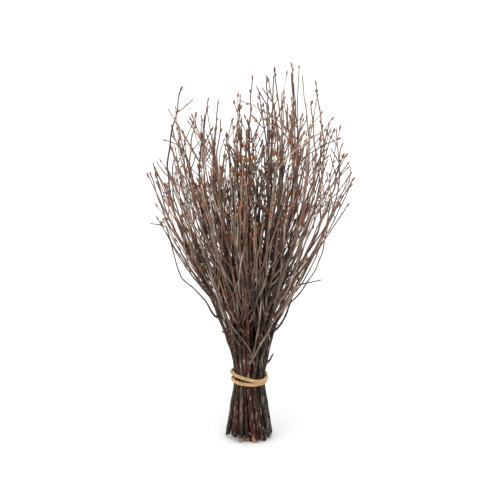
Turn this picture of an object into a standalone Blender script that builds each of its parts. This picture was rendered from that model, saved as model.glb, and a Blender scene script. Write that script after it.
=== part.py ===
"""A tied bundle of birch twigs that stands on its cut ends.

Forty-six forked twigs pass close together through two turns of jute twine, spread a little below it to their
cut ends, and fan out above it. Each twig is one solid, because it grew as one piece, and the twine with
its knot is one more. The frame has +Z up, the front faces -Y, and the origin is on the floor, in the middle
of the middle twig's cut end.
"""

import math
import random

import bmesh
import bpy
import numpy as np

# Driving dimensions of the bundle, in metres. A height is above the floor unless it says otherwise.
HEIGHT = 0.400
TIE_HEIGHT = 0.070
NECK_RADIUS = 0.0148
NECK_OUTSIDE = 0.0164
LOW_OUTSIDE = 0.0212
FOOT_RADIUS = 0.0235
GAP = 0.0003

# The twigs: how thick the stems are at the tie, and how thick a tip is.
TWIG_COUNT = 46
STEM_RADIUS_THIN = 0.00160
STEM_RADIUS_THICK = 0.00232
TIP_RADIUS = 0.00050
STEM_SIDES = 5
SEED = 11

# How far the outermost stems stand from the axis, by height.
LEVELS = (0.0, 0.035, 0.070, 0.098, 0.130, 0.168, 0.210, 0.254, 0.301, 0.350, 0.400)
FAN_RADII = (0.0250, 0.0196, 0.0148, 0.0178, 0.0270, 0.0455, 0.0665, 0.0840, 0.0930, 0.0890, 0.0810)
TIE_LEVEL = 2

# The fan's front outline, as (offset from the axis, height) from its left side to its right, and the offsets
# at which a stem surely reaches it.
CROWN_OUTLINE = (
    (-0.112, 0.262), (-0.098, 0.320), (-0.086, 0.345), (-0.069, 0.383), (-0.050, 0.366), (-0.022, 0.364),
    (-0.005, 0.395), (0.024, 0.392), (0.053, 0.400), (0.075, 0.388), (0.090, 0.345), (0.112, 0.270),
)
TALL_TIPS = (-0.067, -0.050, -0.006, 0.010, 0.024, 0.038, 0.053, 0.064, 0.076)
CROWN_DEPTH = 0.105
CROWN_FALL = 0.30

# Side shoots: heights of a stem's three or four forks, the angle a shoot leaves at, and its length as a share of
# the stem above the fork.
FIRST_FORK = 0.106
FORKED_LENGTH = 0.140
LEAVING_ANGLE = math.radians(30)
KNUCKLE = 0.0028
FIRST_STEP = 0.0055
SHOOT_SHARES = (0.74, 0.69, 0.64, 0.60)
OWN_RADIUS = 0.00080

# How far outside the stems' outline a side shoot may stand, by height. Low down it is hardly at all.
REACH_LEVELS = (0.100, 0.140, 0.170, 0.210, 0.254)
REACHES = (0.0012, 0.0020, 0.0050, 0.0110, 0.0180)

# Foot: the stems turn a little about the axis on their way down, and some cut ends stay off the floor.
FOOT_TWIST = math.radians(7)
FOOT_TWIST_CHANGE = math.radians(10)
MOST_RISE = 0.0065

# Twine: half its thickness, half its height where it is pressed flat against the stems, and its heights above
# the middle of the tie in millimetres, by degrees round the bundle from the back (90) through the left (180),
# the front (270) and the right (360), twice. All of it is lowered by TWINE_SINK. TWINE_RIDES says how many
# millimetres the second turn stands out where it rides on the first.
TWINE_RADIUS = 0.00135
TWINE_HALF_HEIGHT = 0.00180
TWINE_SIDES = 6
TWINE_HEIGHTS = (
    (118, 0.6), (135, 0.2), (153, 0.2), (171, 0.5), (189, 0.7), (207, 0.5), (225, 0.1), (243, -0.4),
    (261, -0.8), (279, -1.1), (297, -1.3), (315, -1.2), (333, -0.8), (351, -0.1), (369, 0.6), (387, 1.3),
    (405, 2.0), (423, 2.9), (441, 4.0), (459, 5.2), (477, 6.4), (495, 7.4), (513, 8.0), (531, 8.3),
    (549, 8.4), (567, 8.2), (585, 7.6), (603, 6.5), (621, 5.0), (639, 3.5), (657, 2.3), (675, 2.0),
    (693, 2.4), (711, 3.3), (729, 4.3), (747, 5.3))
TWINE_RIDES = ((639, 0.3), (657, 0.9), (675, 1.2), (693, 1.2), (711, 1.0), (729, 0.5), (747, 0.4))
TWINE_SINK = 0.0040
KNOT_HEIGHT = 0.0006
KNOT_OUT = 0.0049
KNOT_LENGTH = 0.0105
KNOT_RADIUS = 0.00168


def between(x, xs, ys):
    """Straight-line reading of a table of values."""
    return float(np.interp(x, xs, ys))


def fan_radius(z):
    return between(z, LEVELS, FAN_RADII)


def side_reach(z):
    return between(z, REACH_LEVELS, REACHES)


def crown_height(x, y):
    """Height of the fan's upper surface over the floor point (x, y)."""
    top = between(x, [p[0] for p in CROWN_OUTLINE], [p[1] for p in CROWN_OUTLINE])
    fall = CROWN_FALL * min(abs(y) / CROWN_DEPTH, 1.0) ** 2
    return TIE_HEIGHT + (top - TIE_HEIGHT) * (1 - fall)


def stem_radius(thickness, z, tip_z):
    """A stem's radius at height z, thinning towards its tip."""
    up = min(max((z - TIE_HEIGHT) / (tip_z - TIE_HEIGHT), -0.2), 1.0)
    return TIP_RADIUS + (thickness - TIP_RADIUS) * (1 - up) ** 1.1


def keep_inside(spots, radii, most):
    """Brings discs back inside a circle of radius most."""
    far = np.hypot(spots[:, 0], spots[:, 1])
    share = np.minimum((most - radii) / np.maximum(far, 1e-9), 1.0)
    spots[:, :2] *= share[:, None]


def settle(places, radii, most=None, rounds=160):
    """Moves discs apart until each pair keeps GAP between them, inside a circle where one is given."""
    spots = np.array(places, dtype=float)
    radii = np.array(radii)
    need = radii[:, None] + radii[None, :] + GAP
    np.fill_diagonal(need, 0.0)
    for _ in range(rounds):
        apart = spots[:, None, :] - spots[None, :, :]
        far = np.sqrt((apart ** 2).sum(-1)) + 1e-9
        push = np.clip(need - far, 0.0, None) / far * 0.35
        spots += (apart * push[:, :, None]).sum(1)
        spots[0] = 0.0
        if most is not None:
            keep_inside(spots, radii, most)
    return [tuple(s) for s in spots]


def lay_out_stems(dice):
    """The stems' thicknesses, and their floor-plan places at each of LEVELS."""
    thickness = [dice.uniform(STEM_RADIUS_THIN, STEM_RADIUS_THICK) for _ in range(TWIG_COUNT)]
    golden = math.pi * (3 - math.sqrt(5))
    start = []
    for i in range(TWIG_COUNT):
        r = NECK_RADIUS * math.sqrt(i / TWIG_COUNT)
        start.append((r * math.cos(i * golden), r * math.sin(i * golden)))
    places = {TIE_LEVEL: settle(start, thickness, NECK_OUTSIDE, rounds=800)}
    for level in range(TIE_LEVEL - 1, -1, -1):
        grow = FAN_RADII[level] / FAN_RADII[level + 1]
        share = (LEVELS[level + 1] - LEVELS[level]) / TIE_HEIGHT
        moved = []
        for x, y in places[level + 1]:
            turn = FOOT_TWIST + FOOT_TWIST_CHANGE * math.sin(math.atan2(y, x) + math.radians(150))
            c, s = math.cos(turn * share), math.sin(turn * share)
            moved.append((grow * (c * x - s * y), grow * (s * x + c * y)))
        places[level] = settle(moved, [t * 1.03 for t in thickness])
    wander = [(dice.uniform(0, math.tau), dice.uniform(-0.9, 0.9), dice.uniform(0.2, 1.0))
              for _ in range(TWIG_COUNT)]
    for level in range(TIE_LEVEL + 1, len(LEVELS)):
        z = LEVELS[level]
        grow = FAN_RADII[level] / FAN_RADII[level - 1]
        step = z - LEVELS[level - 1]
        moved = []
        for (x, y), (phase, pace, reach) in zip(places[level - 1], wander):
            heading = phase + pace * level
            drift = 0.10 * reach * step
            moved.append((grow * x + drift * math.cos(heading), grow * y + drift * math.sin(heading)))
        places[level] = settle(moved, [stem_radius(t, z, HEIGHT) * 1.1 for t in thickness])
    return thickness, places


def path_point(path, z):
    """The place on a stem's layout path at height z."""
    return np.array([between(z, LEVELS, path[:, 0]), between(z, LEVELS, path[:, 1]), z])


def unit(v):
    return v / max(np.linalg.norm(v), 1e-12)


def ring_axes(direction, phase):
    """Two directions across a stem, the first turned to the stem's own phase."""
    across = np.array([math.cos(phase), math.sin(phase), 0.0])
    first = unit(across - across.dot(direction) * direction)
    return first, np.cross(direction, first)


class Twig:
    """Centre lines of one twig: its stem, and its shoots by the fork that each one leaves."""

    def __init__(self, points, radii, phase, forks):
        self.points = points
        self.radii = radii
        self.phase = phase
        self.forks = forks
        self.shoots = []


def draw_in(start, end, least):
    """Moves the end of a shoot's piece in, to least of its radius at most, to keep the piece inside the fan."""
    far = math.hypot(end[0], end[1])
    keep = 1.0
    for share in (0.3, 0.6, 1.0):
        spot = start + (end - start) * share
        most = max(fan_radius(spot[2]) + side_reach(spot[2]), math.hypot(start[0], start[1]) + 0.001)
        keep = min(keep, 1 - (math.hypot(spot[0], spot[1]) - most) / share / far)
    end[:2] *= max(keep, least)
    end[2] = min(end[2], crown_height(end[0], end[1]))


def plan_shoot(twig, stem_index, heading, length, dice, via=None):
    """Adds a shoot at a point of the stem, on the stem's flat that faces nearest to the heading."""
    here = twig.points[stem_index]
    along = unit(twig.points[stem_index + 1] - here)
    first, second = ring_axes(along, twig.phase)
    wish = np.array([math.cos(heading), math.sin(heading), 0.0])
    sides = []
    for k in range(STEM_SIDES):
        angle = math.tau * (k + 0.5) / STEM_SIDES
        sides.append(math.cos(angle) * first + math.sin(angle) * second)
    taken = [s["side"] for s in twig.shoots if s["at"] == stem_index]
    free = [k for k in range(STEM_SIDES) if k not in taken]
    side = max(free, key=lambda k: sides[k].dot(wish))
    out = sides[side]
    stem_r = twig.radii[stem_index]
    shoot_r = stem_r * 0.62
    start = here + along * KNUCKLE / 2 + out * stem_r * math.cos(math.pi / STEM_SIDES)
    leave = math.cos(LEAVING_ANGLE) * along + math.sin(LEAVING_ANGLE) * out
    line = [start, start + leave * FIRST_STEP]
    radii = [stem_r * 0.8, shoot_r]
    if via is not None:
        line += [np.array(p) for p in via]
        radii += list(np.linspace(OWN_RADIUS, TIP_RADIUS, len(via)))
    else:
        turned = dice.uniform(-0.5, 0.5)
        around = math.cos(turned) * out + math.sin(turned) * np.cross(along, out)
        for part, angle in ((0.42, 23), (0.58, 11)):
            lean = math.radians(angle) * dice.uniform(0.75, 1.35)
            step = unit(math.cos(lean) * along + math.sin(lean) * around)
            line.append(line[-1] + step * length * part)
        radii += [shoot_r * 0.78, TIP_RADIUS]
        draw_in(line[1], line[2], 0.8)
        draw_in(line[2], line[3], 0.6)
    twig.shoots.append({"at": stem_index, "side": side, "points": line, "radii": radii})


# Shoots that stand out on the real bundle and are given a line of their own, as points (x, y, height above
# the tie) after the knuckle. The first entry is the place on the stem that the shoot leaves.
LOOSE_LEFT = ((-0.031, -0.003, 0.066), (
    (-0.046, -0.014, 0.086), (-0.059, -0.018, 0.102), (-0.071, -0.018, 0.112), (-0.080, -0.018, 0.142),
    (-0.087, -0.018, 0.168), (-0.103, -0.018, 0.171)))
LOW_RIGHT = ((0.030, -0.004, 0.082), ((0.0465, -0.012, 0.1015), (0.076, -0.018, 0.1105)))
STUB_RIGHT = ((0.016, -0.004, 0.013), ((0.0255, -0.006, 0.0260),))
FRONT_LEFTWARD = ((0.004, -0.017, 0.016), ((-0.004, -0.0255, 0.036), (-0.020, -0.038, 0.068)))
FRONT_RIGHTWARD = ((0.001, -0.017, 0.018), ((0.011, -0.0265, 0.042), (0.029, -0.042, 0.077)))
OWN_SHOOTS = (LOOSE_LEFT, LOW_RIGHT, STUB_RIGHT, FRONT_LEFTWARD, FRONT_RIGHTWARD)


def grow_twigs():
    """The twigs laid out side by side, before they are moved clear of each other."""
    dice = random.Random(SEED)
    thickness, places = lay_out_stems(dice)
    layout = np.array([places[level] for level in range(len(LEVELS))])
    taken = {}
    for own in OWN_SHOOTS:
        (x, y, above), _ = own
        z = TIE_HEIGHT + above
        gaps = []
        for i in range(TWIG_COUNT):
            spot = path_point(layout[:, i], z)
            gaps.append((9.0 if i in taken else math.hypot(spot[0] - x, spot[1] - y), i))
        taken[min(gaps)[1]] = own
    tall = {}
    for x in TALL_TIPS:
        gaps = [(9.0 if i in tall else math.hypot(layout[9, i, 0] - x, 0.25 * layout[9, i, 1]), i)
                for i in range(TWIG_COUNT)]
        tall[min(gaps)[1]] = x
    twigs = []
    for i in range(TWIG_COUNT):
        path = layout[:, i]
        rim = min(math.hypot(*path[TIE_LEVEL]) / NECK_RADIUS, 1.0)
        tip_z = crown_height(*path[9]) * (1 - 0.20 * dice.random() ** 1.8)
        if i % 4 == 0:
            tip_z = crown_height(*path[9])
        if i in tall:
            tip_z = crown_height(tall[i], 0.4 * path[9][1])
        tip_z = max(tip_z, 0.255)
        first = FIRST_FORK + 0.045 * (1 - rim) + dice.uniform(-0.010, 0.014)
        fork_count = 4 if i % 2 == 0 else 3
        spacing = FORKED_LENGTH / fork_count
        forks = [first + spacing * (k + dice.uniform(-0.2, 0.2)) for k in range(fork_count)]
        own = taken.get(i)
        if own is not None:
            forks[0] = TIE_HEIGHT + own[0][2]
            for k in range(1, fork_count):
                forks[k] = max(forks[k], forks[k - 1] + 0.026)
        last = (forks[-1] + tip_z) / 2
        foot = 0.0
        if i % 5 in (2, 4) or path[0][0] < -0.62 * FOOT_RADIUS:
            foot = MOST_RISE * dice.uniform(0.25, 1.0)
        heights = [foot, LEVELS[1], TIE_HEIGHT, *forks, last, tip_z]
        points = [path_point(path, z) for z in heights]
        points[-1][:2] += [dice.uniform(-0.006, 0.006), dice.uniform(-0.006, 0.006)]
        radii = [stem_radius(thickness[i], z, tip_z) for z in heights]
        phase = dice.uniform(0, math.tau)
        twig = Twig(points, radii, phase, forks)
        away = math.atan2(path[6][1], path[6][0])
        turn = away + dice.choice((-1, 1)) * dice.uniform(0.8, 1.7)
        for k in range(fork_count):
            above = np.linalg.norm(points[-1] - points[3 + k])
            heading = turn + k * math.radians(137.5)
            if own is not None and k == 0:
                (x, y, _), via = own
                via = [(px, py, TIE_HEIGHT + pz) for px, py, pz in via]
                heading = math.atan2(via[0][1] - points[3][1], via[0][0] - points[3][0])
                plan_shoot(twig, 3, heading, 0.0, dice, via)
                continue
            length = above * SHOOT_SHARES[k] * dice.uniform(0.7, 1.2)
            plan_shoot(twig, 3 + k, heading, length, dice)
        twigs.append(twig)
    tallest = max(twigs, key=lambda twig: twig.points[-1][2])
    tallest.points[-1][2] = HEIGHT
    return twigs


def nearest_points(p1, q1, p2, q2):
    """Where pairs of straight pieces come closest, as shares along each of them."""
    d1, d2, r = q1 - p1, q2 - p2, p1 - p2
    a = (d1 * d1).sum(1) + 1e-18
    e = (d2 * d2).sum(1) + 1e-18
    f = (d2 * r).sum(1)
    c = (d1 * r).sum(1)
    b = (d1 * d2).sum(1)
    denominator = a * e - b * b
    s = np.where(denominator > 1e-18, np.clip((b * f - c * e) / np.maximum(denominator, 1e-18), 0, 1), 0.5)
    t = np.clip((b * s + f) / e, 0, 1)
    s = np.clip((b * t - c) / a, 0, 1)
    return s, t


class Tangle:
    """All centre lines as points and straight pieces, ready to be moved clear of each other."""

    def __init__(self, twigs):
        points, radii, body, start, end, twig_of, order = [], [], [], [], [], [], []
        self.where = []
        for number, twig in enumerate(twigs):
            base = len(points)
            count = len(twig.points)
            points += twig.points
            radii += twig.radii
            body += range(base, base + count)
            for k in range(count - 1):
                start.append(base + k)
                end.append(base + k + 1)
                twig_of.append(number)
                order.append(("stem", k))
            for m, shoot in enumerate(twig.shoots):
                root = len(points)
                points += shoot["points"]
                radii += shoot["radii"]
                fork = base + shoot["at"]
                body += [fork, fork] + list(range(root + 2, root + len(shoot["points"])))
                for k in range(len(shoot["points"]) - 1):
                    start.append(root + k)
                    end.append(root + k + 1)
                    twig_of.append(number)
                    order.append((m, k))
                shoot["first_point"] = root
            twig.first_point = base
        self.p = np.array(points)
        self.r = np.array(radii)
        self.body = np.array(body)
        self.a = np.array(start)
        self.b = np.array(end)
        self.twig = np.array(twig_of)
        self.order = order
        self.pairs = self.choose_pairs(twigs)
        fixed = np.zeros(len(points), bool)
        fixed[twigs[0].first_point:twigs[0].first_point + 3] = True
        self.fixed = fixed
        self.neck = [twig.first_point + 2 for twig in twigs]
        self.low = [twig.first_point + 1 for twig in twigs]

    def choose_pairs(self, twigs):
        """Every two pieces that may not touch: all but neighbours along one twig."""
        i, j = np.triu_indices(len(self.a), 1)
        keep = np.ones(len(i), bool)
        same = np.nonzero(self.twig[i] == self.twig[j])[0]
        for n in same:
            (kind_i, k_i), (kind_j, k_j) = self.order[i[n]], self.order[j[n]]
            twig = twigs[self.twig[i[n]]]
            if kind_i == kind_j:
                keep[n] = False
            elif kind_i == "stem":
                at = twig.shoots[kind_j]["at"]
                if k_j <= 1 and at - 1 <= k_i <= at:
                    keep[n] = False
            elif k_i == 0 or k_j == 0:
                keep[n] = False
        return i[keep], j[keep]

    def close_pairs(self, spare):
        """The pairs that are nearer than they should be, with their nearest places."""
        p, a, b = self.p, self.a, self.b
        rad = np.maximum(self.r[a], self.r[b])
        low = np.minimum(p[a], p[b]) - rad[:, None] - spare
        high = np.maximum(p[a], p[b]) + rad[:, None] + spare
        i, j = self.pairs
        near = np.ones(len(i), bool)
        for axis in (0, 1, 2):
            near[near] = ((low[i[near], axis] <= high[j[near], axis])
                          & (low[j[near], axis] <= high[i[near], axis]))
        i, j = i[near], j[near]
        s, t = nearest_points(p[a[i]], p[b[i]], p[a[j]], p[b[j]])
        on_i = p[a[i]] + (p[b[i]] - p[a[i]]) * s[:, None]
        on_j = p[a[j]] + (p[b[j]] - p[a[j]]) * t[:, None]
        r_i = self.r[a[i]] + (self.r[b[i]] - self.r[a[i]]) * s
        r_j = self.r[a[j]] + (self.r[b[j]] - self.r[a[j]]) * t
        apart = on_i - on_j
        far = np.sqrt((apart ** 2).sum(1)) + 1e-9
        short = r_i + r_j + spare - far
        return i, j, s, t, apart / far[:, None], short

    def clear(self, rounds, spare):
        """Pushes pieces that are too near apart, a little at a time, and holds the neck together."""
        for _ in range(rounds):
            for group, most in ((self.neck, NECK_OUTSIDE), (self.low, LOW_OUTSIDE)):
                spots = self.p[group]
                keep_inside(spots, self.r[group], most)
                self.p[group] = spots
            i, j, s, t, away, short = self.close_pairs(spare)
            bad = short > 0
            if not bad.any():
                break
            i, j, s, t, away, short = i[bad], j[bad], s[bad], t[bad], away[bad], short[bad]
            move = np.zeros_like(self.p)
            count = np.zeros(len(self.p))
            push = away * (short * 0.5)[:, None]
            for piece, share, sign in ((i, s, 1.0), (j, t, -1.0)):
                for end, weight in ((self.a, 1 - share), (self.b, share)):
                    scale = weight / np.maximum((1 - share) ** 2 + share ** 2, 0.5)
                    body = self.body[end[piece]]
                    np.add.at(move, body, sign * push * scale[:, None])
                    np.add.at(count, body, weight)
            move /= np.maximum(count, 1.0)[:, None] * 0.75 + 0.25
            move[self.fixed] = 0.0
            self.p += move[self.body] * np.array([1.0, 1.0, 0.25])
            feet = self.p[:, 2] < 0
            self.p[feet, 2] = 0


def place_back(twigs, tangle):
    """Gives the moved points back to the twigs."""
    for twig in twigs:
        first = twig.first_point
        twig.points = list(tangle.p[first:first + len(twig.points)])
        for shoot in twig.shoots:
            root = shoot["first_point"]
            shoot["points"] = list(tangle.p[root:root + len(shoot["points"])])


def ring(centre, first, second, radius, sides, turn=0.0):
    """Corner points of one ring across a tube."""
    corners = []
    for k in range(sides):
        angle = math.tau * k / sides + turn
        corners.append(centre + radius * (math.cos(angle) * first + math.sin(angle) * second))
    return corners


class Skin:
    """Vertices and faces of one closed solid."""

    def __init__(self):
        self.vertices = []
        self.faces = []

    def add_ring(self, corners):
        base = len(self.vertices)
        self.vertices += [tuple(c) for c in corners]
        return list(range(base, base + len(corners)))

    def join(self, low, high, leave_out=None):
        count = len(low)
        for k in range(count):
            if k == leave_out:
                continue
            n = (k + 1) % count
            self.faces.append((low[k], low[n], high[n], high[k]))

    def make_object(self, name, material):
        mesh = bpy.data.meshes.new(name)
        mesh.from_pydata(self.vertices, [], self.faces)
        mesh.materials.append(material)
        mesh.update()
        made = bpy.data.objects.new(name, mesh)
        bpy.context.scene.collection.objects.link(made)
        work = bmesh.new()
        work.from_mesh(mesh)
        bmesh.ops.recalc_face_normals(work, faces=work.faces)
        bmesh.ops.triangulate(work, faces=work.faces, quad_method="SHORT_EDGE")
        work.to_mesh(mesh)
        work.free()
        return made


def skin_twig(twig):
    """One closed solid: a five-sided stem, and each shoot drawn out of one flat of the stem."""
    skin = Skin()
    forks = {shoot["at"]: shoot for shoot in twig.shoots}
    points = twig.points
    below = None
    open_side = None
    roots = []
    for k, here in enumerate(points):
        before = points[max(k - 1, 0)]
        after = points[min(k + 1, len(points) - 1)]
        tangent = unit(after - before)
        if k == 0:
            tangent = np.array([0.0, 0.0, 1.0])
        first, second = ring_axes(tangent, twig.phase)
        corners = ring(here, first, second, twig.radii[k], STEM_SIDES)
        if k == 0:
            corners = [np.array([c[0], c[1], here[2]]) for c in corners]
        now = skin.add_ring(corners)
        if below is None:
            skin.faces.append(tuple(reversed(now)))
        else:
            skin.join(below, now)
        below = now
        if k in forks:
            along = unit(points[k + 1] - here)
            first, second = ring_axes(along, twig.phase)
            share = KNUCKLE / np.linalg.norm(points[k + 1] - here)
            radius = twig.radii[k] + (twig.radii[k + 1] - twig.radii[k]) * share
            upper = skin.add_ring(ring(here + along * KNUCKLE, first, second, radius, STEM_SIDES))
            side = forks[k]["side"]
            skin.join(now, upper, leave_out=side)
            n = (side + 1) % STEM_SIDES
            roots.append((forks[k], along, [now[side], now[n], upper[n], upper[side]]))
            below = upper
    skin.faces.append(tuple(below))
    for shoot, along, root in roots:
        line = shoot["points"]
        low = root
        inward = None
        for k in range(1, len(line)):
            before = line[k - 1]
            after = line[min(k + 1, len(line) - 1)]
            tangent = unit(after - before)
            if inward is None:
                inward = along
            inward = unit(inward - inward.dot(tangent) * tangent)
            sideways = np.cross(tangent, inward)
            r = shoot["radii"][k] / math.sqrt(2)
            corners = [line[k] + r * (a * sideways + b * inward)
                       for a, b in ((1, -1), (-1, -1), (-1, 1), (1, 1))]
            if k == 1:
                here = np.array(skin.vertices[root[1]]) - np.array(skin.vertices[root[0]])
                flip = -1.0 if here.dot(corners[1] - corners[0]) < 0 else 1.0
            if flip < 0:
                corners = [line[k] + r * (-a * sideways + b * inward)
                           for a, b in ((1, -1), (-1, -1), (-1, 1), (1, 1))]
            high = skin.add_ring(corners)
            skin.join(low, high)
            low = high
        skin.faces.append(tuple(low))
    return skin


def stem_sections(twigs, z):
    """Where the stems stand at height z near the tie, and how thick they are there."""
    found = []
    for twig in twigs:
        points = np.array(twig.points)
        spot = [between(z, points[:, 2], points[:, axis]) for axis in (0, 1)]
        found.append((*spot, between(z, points[:, 2], twig.radii)))
    return np.array(found)


def twine_reach(sections, angle):
    """How far from the axis a strand's middle lies when it is drawn tight round the stems."""
    best = 1.0
    for k in range(36):
        way = math.tau * k / 36
        lean = math.cos(angle - way)
        if lean < 0.6:
            continue
        support = (sections[:, 0] * math.cos(way) + sections[:, 1] * math.sin(way)
                   + sections[:, 2] * 1.04).max()
        best = min(best, support / lean)
    return best + GAP + TWINE_RADIUS + 0.00025


def lift_off(line, twigs):
    """Moves the strands out where a stem bulges between two points of the twine's line."""
    low = np.array([twig.points[k] for twig in twigs for k in (1, 2)])
    high = np.array([twig.points[k + 1] for twig in twigs for k in (1, 2)])
    low_r = np.array([twig.radii[k] for twig in twigs for k in (1, 2)])
    high_r = np.array([twig.radii[k + 1] for twig in twigs for k in (1, 2)])
    line = np.array(line)
    for _ in range(12):
        for k in range(len(line) - 1):
            a = np.repeat(line[k:k + 1], len(low), 0)
            b = np.repeat(line[k + 1:k + 2], len(low), 0)
            s, t = nearest_points(a, b, low, high)
            gap = a + (b - a) * s[:, None] - low - (high - low) * t[:, None]
            far = np.sqrt((gap ** 2).sum(1))
            short = low_r + (high_r - low_r) * t + TWINE_RADIUS + GAP - far
            worst = int(short.argmax())
            if short[worst] > 0:
                for end, share in ((k, 1 - s[worst]), (k + 1, s[worst])):
                    out = unit(line[end] * np.array([1.0, 1.0, 0.0]))
                    line[end] += out * short[worst] * (0.3 + 0.7 * share)
    return list(line)


def twine_line(twigs):
    """The twine's middle line, from one cut end through the knot, twice round, and out by the knot."""
    back = math.pi / 2
    middle = TIE_HEIGHT + KNOT_HEIGHT
    sections = stem_sections(twigs, middle)
    depth = twine_reach(sections, back) + KNOT_OUT

    def through_knot(start_phase):
        line = []
        for k in range(8):
            share = k / 7
            phase = start_phase + math.tau * share
            line.append(np.array([KNOT_LENGTH * (0.5 - share), depth + KNOT_RADIUS * math.sin(phase),
                                  middle + KNOT_RADIUS * math.cos(phase)]))
        return line

    first_end = [np.array([0.0150, depth + 0.0030, middle - 0.0105]),
                 np.array([0.0105, depth + 0.0022, middle - 0.0062])]
    last_end = [np.array([-0.0098, depth + 0.0016, middle + 0.0050]),
                np.array([-0.0135, depth + 0.0018, middle + 0.0090])]
    line = first_end + through_knot(math.pi)
    for degrees, above in TWINE_HEIGHTS:
        angle = math.radians(degrees)
        z = TIE_HEIGHT + above / 1000 - TWINE_SINK
        reach = twine_reach(stem_sections(twigs, z), angle)
        if degrees == 118:
            reach += 0.0026
        if degrees == 135:
            reach += 0.0006
        reach += dict(TWINE_RIDES).get(degrees, 0.0) / 1000
        line.append(np.array([reach * math.cos(angle), reach * math.sin(angle), z]))
    entry = math.radians(62)
    reach = twine_reach(sections, entry) + 0.0034
    line.append(np.array([reach * math.cos(entry), reach * math.sin(entry), middle + 0.0024]))
    line += through_knot(0.0) + last_end
    return lift_off(line, twigs)


def twine_half_heights(count):
    """Half the twine's height at each point of its line: flat round the stems, round in the knot."""
    wound = 10
    heights = [TWINE_RADIUS] * count
    for k in range(wound + 1, wound + len(TWINE_HEIGHTS) - 1):
        heights[k] = TWINE_HALF_HEIGHT
    return heights


def skin_twine(line):
    """One closed tube along the twine's line, its rings turned to the axis of the bundle."""
    skin = Skin()
    below = None
    half_heights = twine_half_heights(len(line))
    for k, here in enumerate(line):
        before = line[max(k - 1, 0)]
        after = line[min(k + 1, len(line) - 1)]
        tangent = unit(after - before)
        out = here * np.array([1.0, 1.0, 0.0])
        first = unit(out - out.dot(tangent) * tangent)
        tall = half_heights[k] / TWINE_RADIUS
        now = skin.add_ring(ring(here, first, np.cross(tangent, first) * tall, TWINE_RADIUS, TWINE_SIDES))
        if below is None:
            skin.faces.append(tuple(reversed(now)))
        else:
            skin.join(below, now)
        below = now
    skin.faces.append(tuple(below))
    return skin


def plain_material(name, colour, roughness):
    material = bpy.data.materials.new(name)
    material.use_nodes = True
    shader = material.node_tree.nodes["Principled BSDF"]
    shader.inputs["Base Color"].default_value = (*colour, 1.0)
    shader.inputs["Roughness"].default_value = roughness
    return material


for old in list(bpy.data.objects):
    bpy.data.objects.remove(old, do_unlink=True)

twigs = grow_twigs()
tangle = Tangle(twigs)
tangle.clear(rounds=500, spare=GAP + 0.0001)
place_back(twigs, tangle)

bark = plain_material("birch_bark", (0.115, 0.066, 0.052), 0.72)
jute = plain_material("jute_twine", (0.56, 0.39, 0.20), 0.92)
for number, twig in enumerate(twigs, start=1):
    skin_twig(twig).make_object("twig_%02d" % number, bark)
skin_twine(twine_line(twigs)).make_object("twine_tie", jute)
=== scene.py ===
# %% [markdown]
# A tied bundle of birch twigs, stood on its cut ends.
# Forty-six forked twigs are drawn together by two turns of jute twine and fan out above it.
# The solids of the part are loaded first. They say where each twig and the twine are, and how big.

import math
import random

import bpy
import numpy as np
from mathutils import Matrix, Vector


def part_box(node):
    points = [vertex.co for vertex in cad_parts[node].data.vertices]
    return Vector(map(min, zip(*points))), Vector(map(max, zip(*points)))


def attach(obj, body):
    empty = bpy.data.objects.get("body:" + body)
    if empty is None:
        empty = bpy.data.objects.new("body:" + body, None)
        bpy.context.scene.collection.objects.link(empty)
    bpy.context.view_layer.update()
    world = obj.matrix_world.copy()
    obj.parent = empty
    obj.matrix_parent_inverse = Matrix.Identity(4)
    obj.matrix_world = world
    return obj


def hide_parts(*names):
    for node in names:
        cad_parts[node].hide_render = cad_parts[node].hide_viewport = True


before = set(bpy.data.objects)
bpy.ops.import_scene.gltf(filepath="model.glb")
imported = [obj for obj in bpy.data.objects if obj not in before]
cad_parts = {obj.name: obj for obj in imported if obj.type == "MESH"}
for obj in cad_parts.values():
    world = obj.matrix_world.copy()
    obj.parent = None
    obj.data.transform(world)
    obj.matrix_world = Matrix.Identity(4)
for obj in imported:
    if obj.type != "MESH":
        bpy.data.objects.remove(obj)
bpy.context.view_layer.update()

# %% [markdown]
# Every twig grows along a line, so the lines come before any surface.
# The same named sizes as in the part's source are used here, in metres, so that each dressed twig lies
# along its own solid. The fan's outline is given as heights across its front.

# %% Sizes of the bundle
# Driving dimensions of the bundle, in metres. A height is above the floor unless it says otherwise.
HEIGHT = 0.400
TIE_HEIGHT = 0.070
NECK_RADIUS = 0.0148
NECK_OUTSIDE = 0.0164
LOW_OUTSIDE = 0.0212
FOOT_RADIUS = 0.0235
GAP = 0.0003

# The twigs: how thick the stems are at the tie, and how thick a tip is.
TWIG_COUNT = 46
STEM_RADIUS_THIN = 0.00160
STEM_RADIUS_THICK = 0.00232
TIP_RADIUS = 0.00050
STEM_SIDES = 5
SEED = 11

# How far the outermost stems stand from the axis, by height.
LEVELS = (0.0, 0.035, 0.070, 0.098, 0.130, 0.168, 0.210, 0.254, 0.301, 0.350, 0.400)
FAN_RADII = (0.0250, 0.0196, 0.0148, 0.0178, 0.0270, 0.0455, 0.0665, 0.0840, 0.0930, 0.0890, 0.0810)
TIE_LEVEL = 2

# The fan's front outline, as (offset from the axis, height) from its left side to its right, and the offsets
# at which a stem surely reaches it.
CROWN_OUTLINE = (
    (-0.112, 0.262), (-0.098, 0.320), (-0.086, 0.345), (-0.069, 0.383), (-0.050, 0.366), (-0.022, 0.364),
    (-0.005, 0.395), (0.024, 0.392), (0.053, 0.400), (0.075, 0.388), (0.090, 0.345), (0.112, 0.270),
)
TALL_TIPS = (-0.067, -0.050, -0.006, 0.010, 0.024, 0.038, 0.053, 0.064, 0.076)
CROWN_DEPTH = 0.105
CROWN_FALL = 0.30

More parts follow.
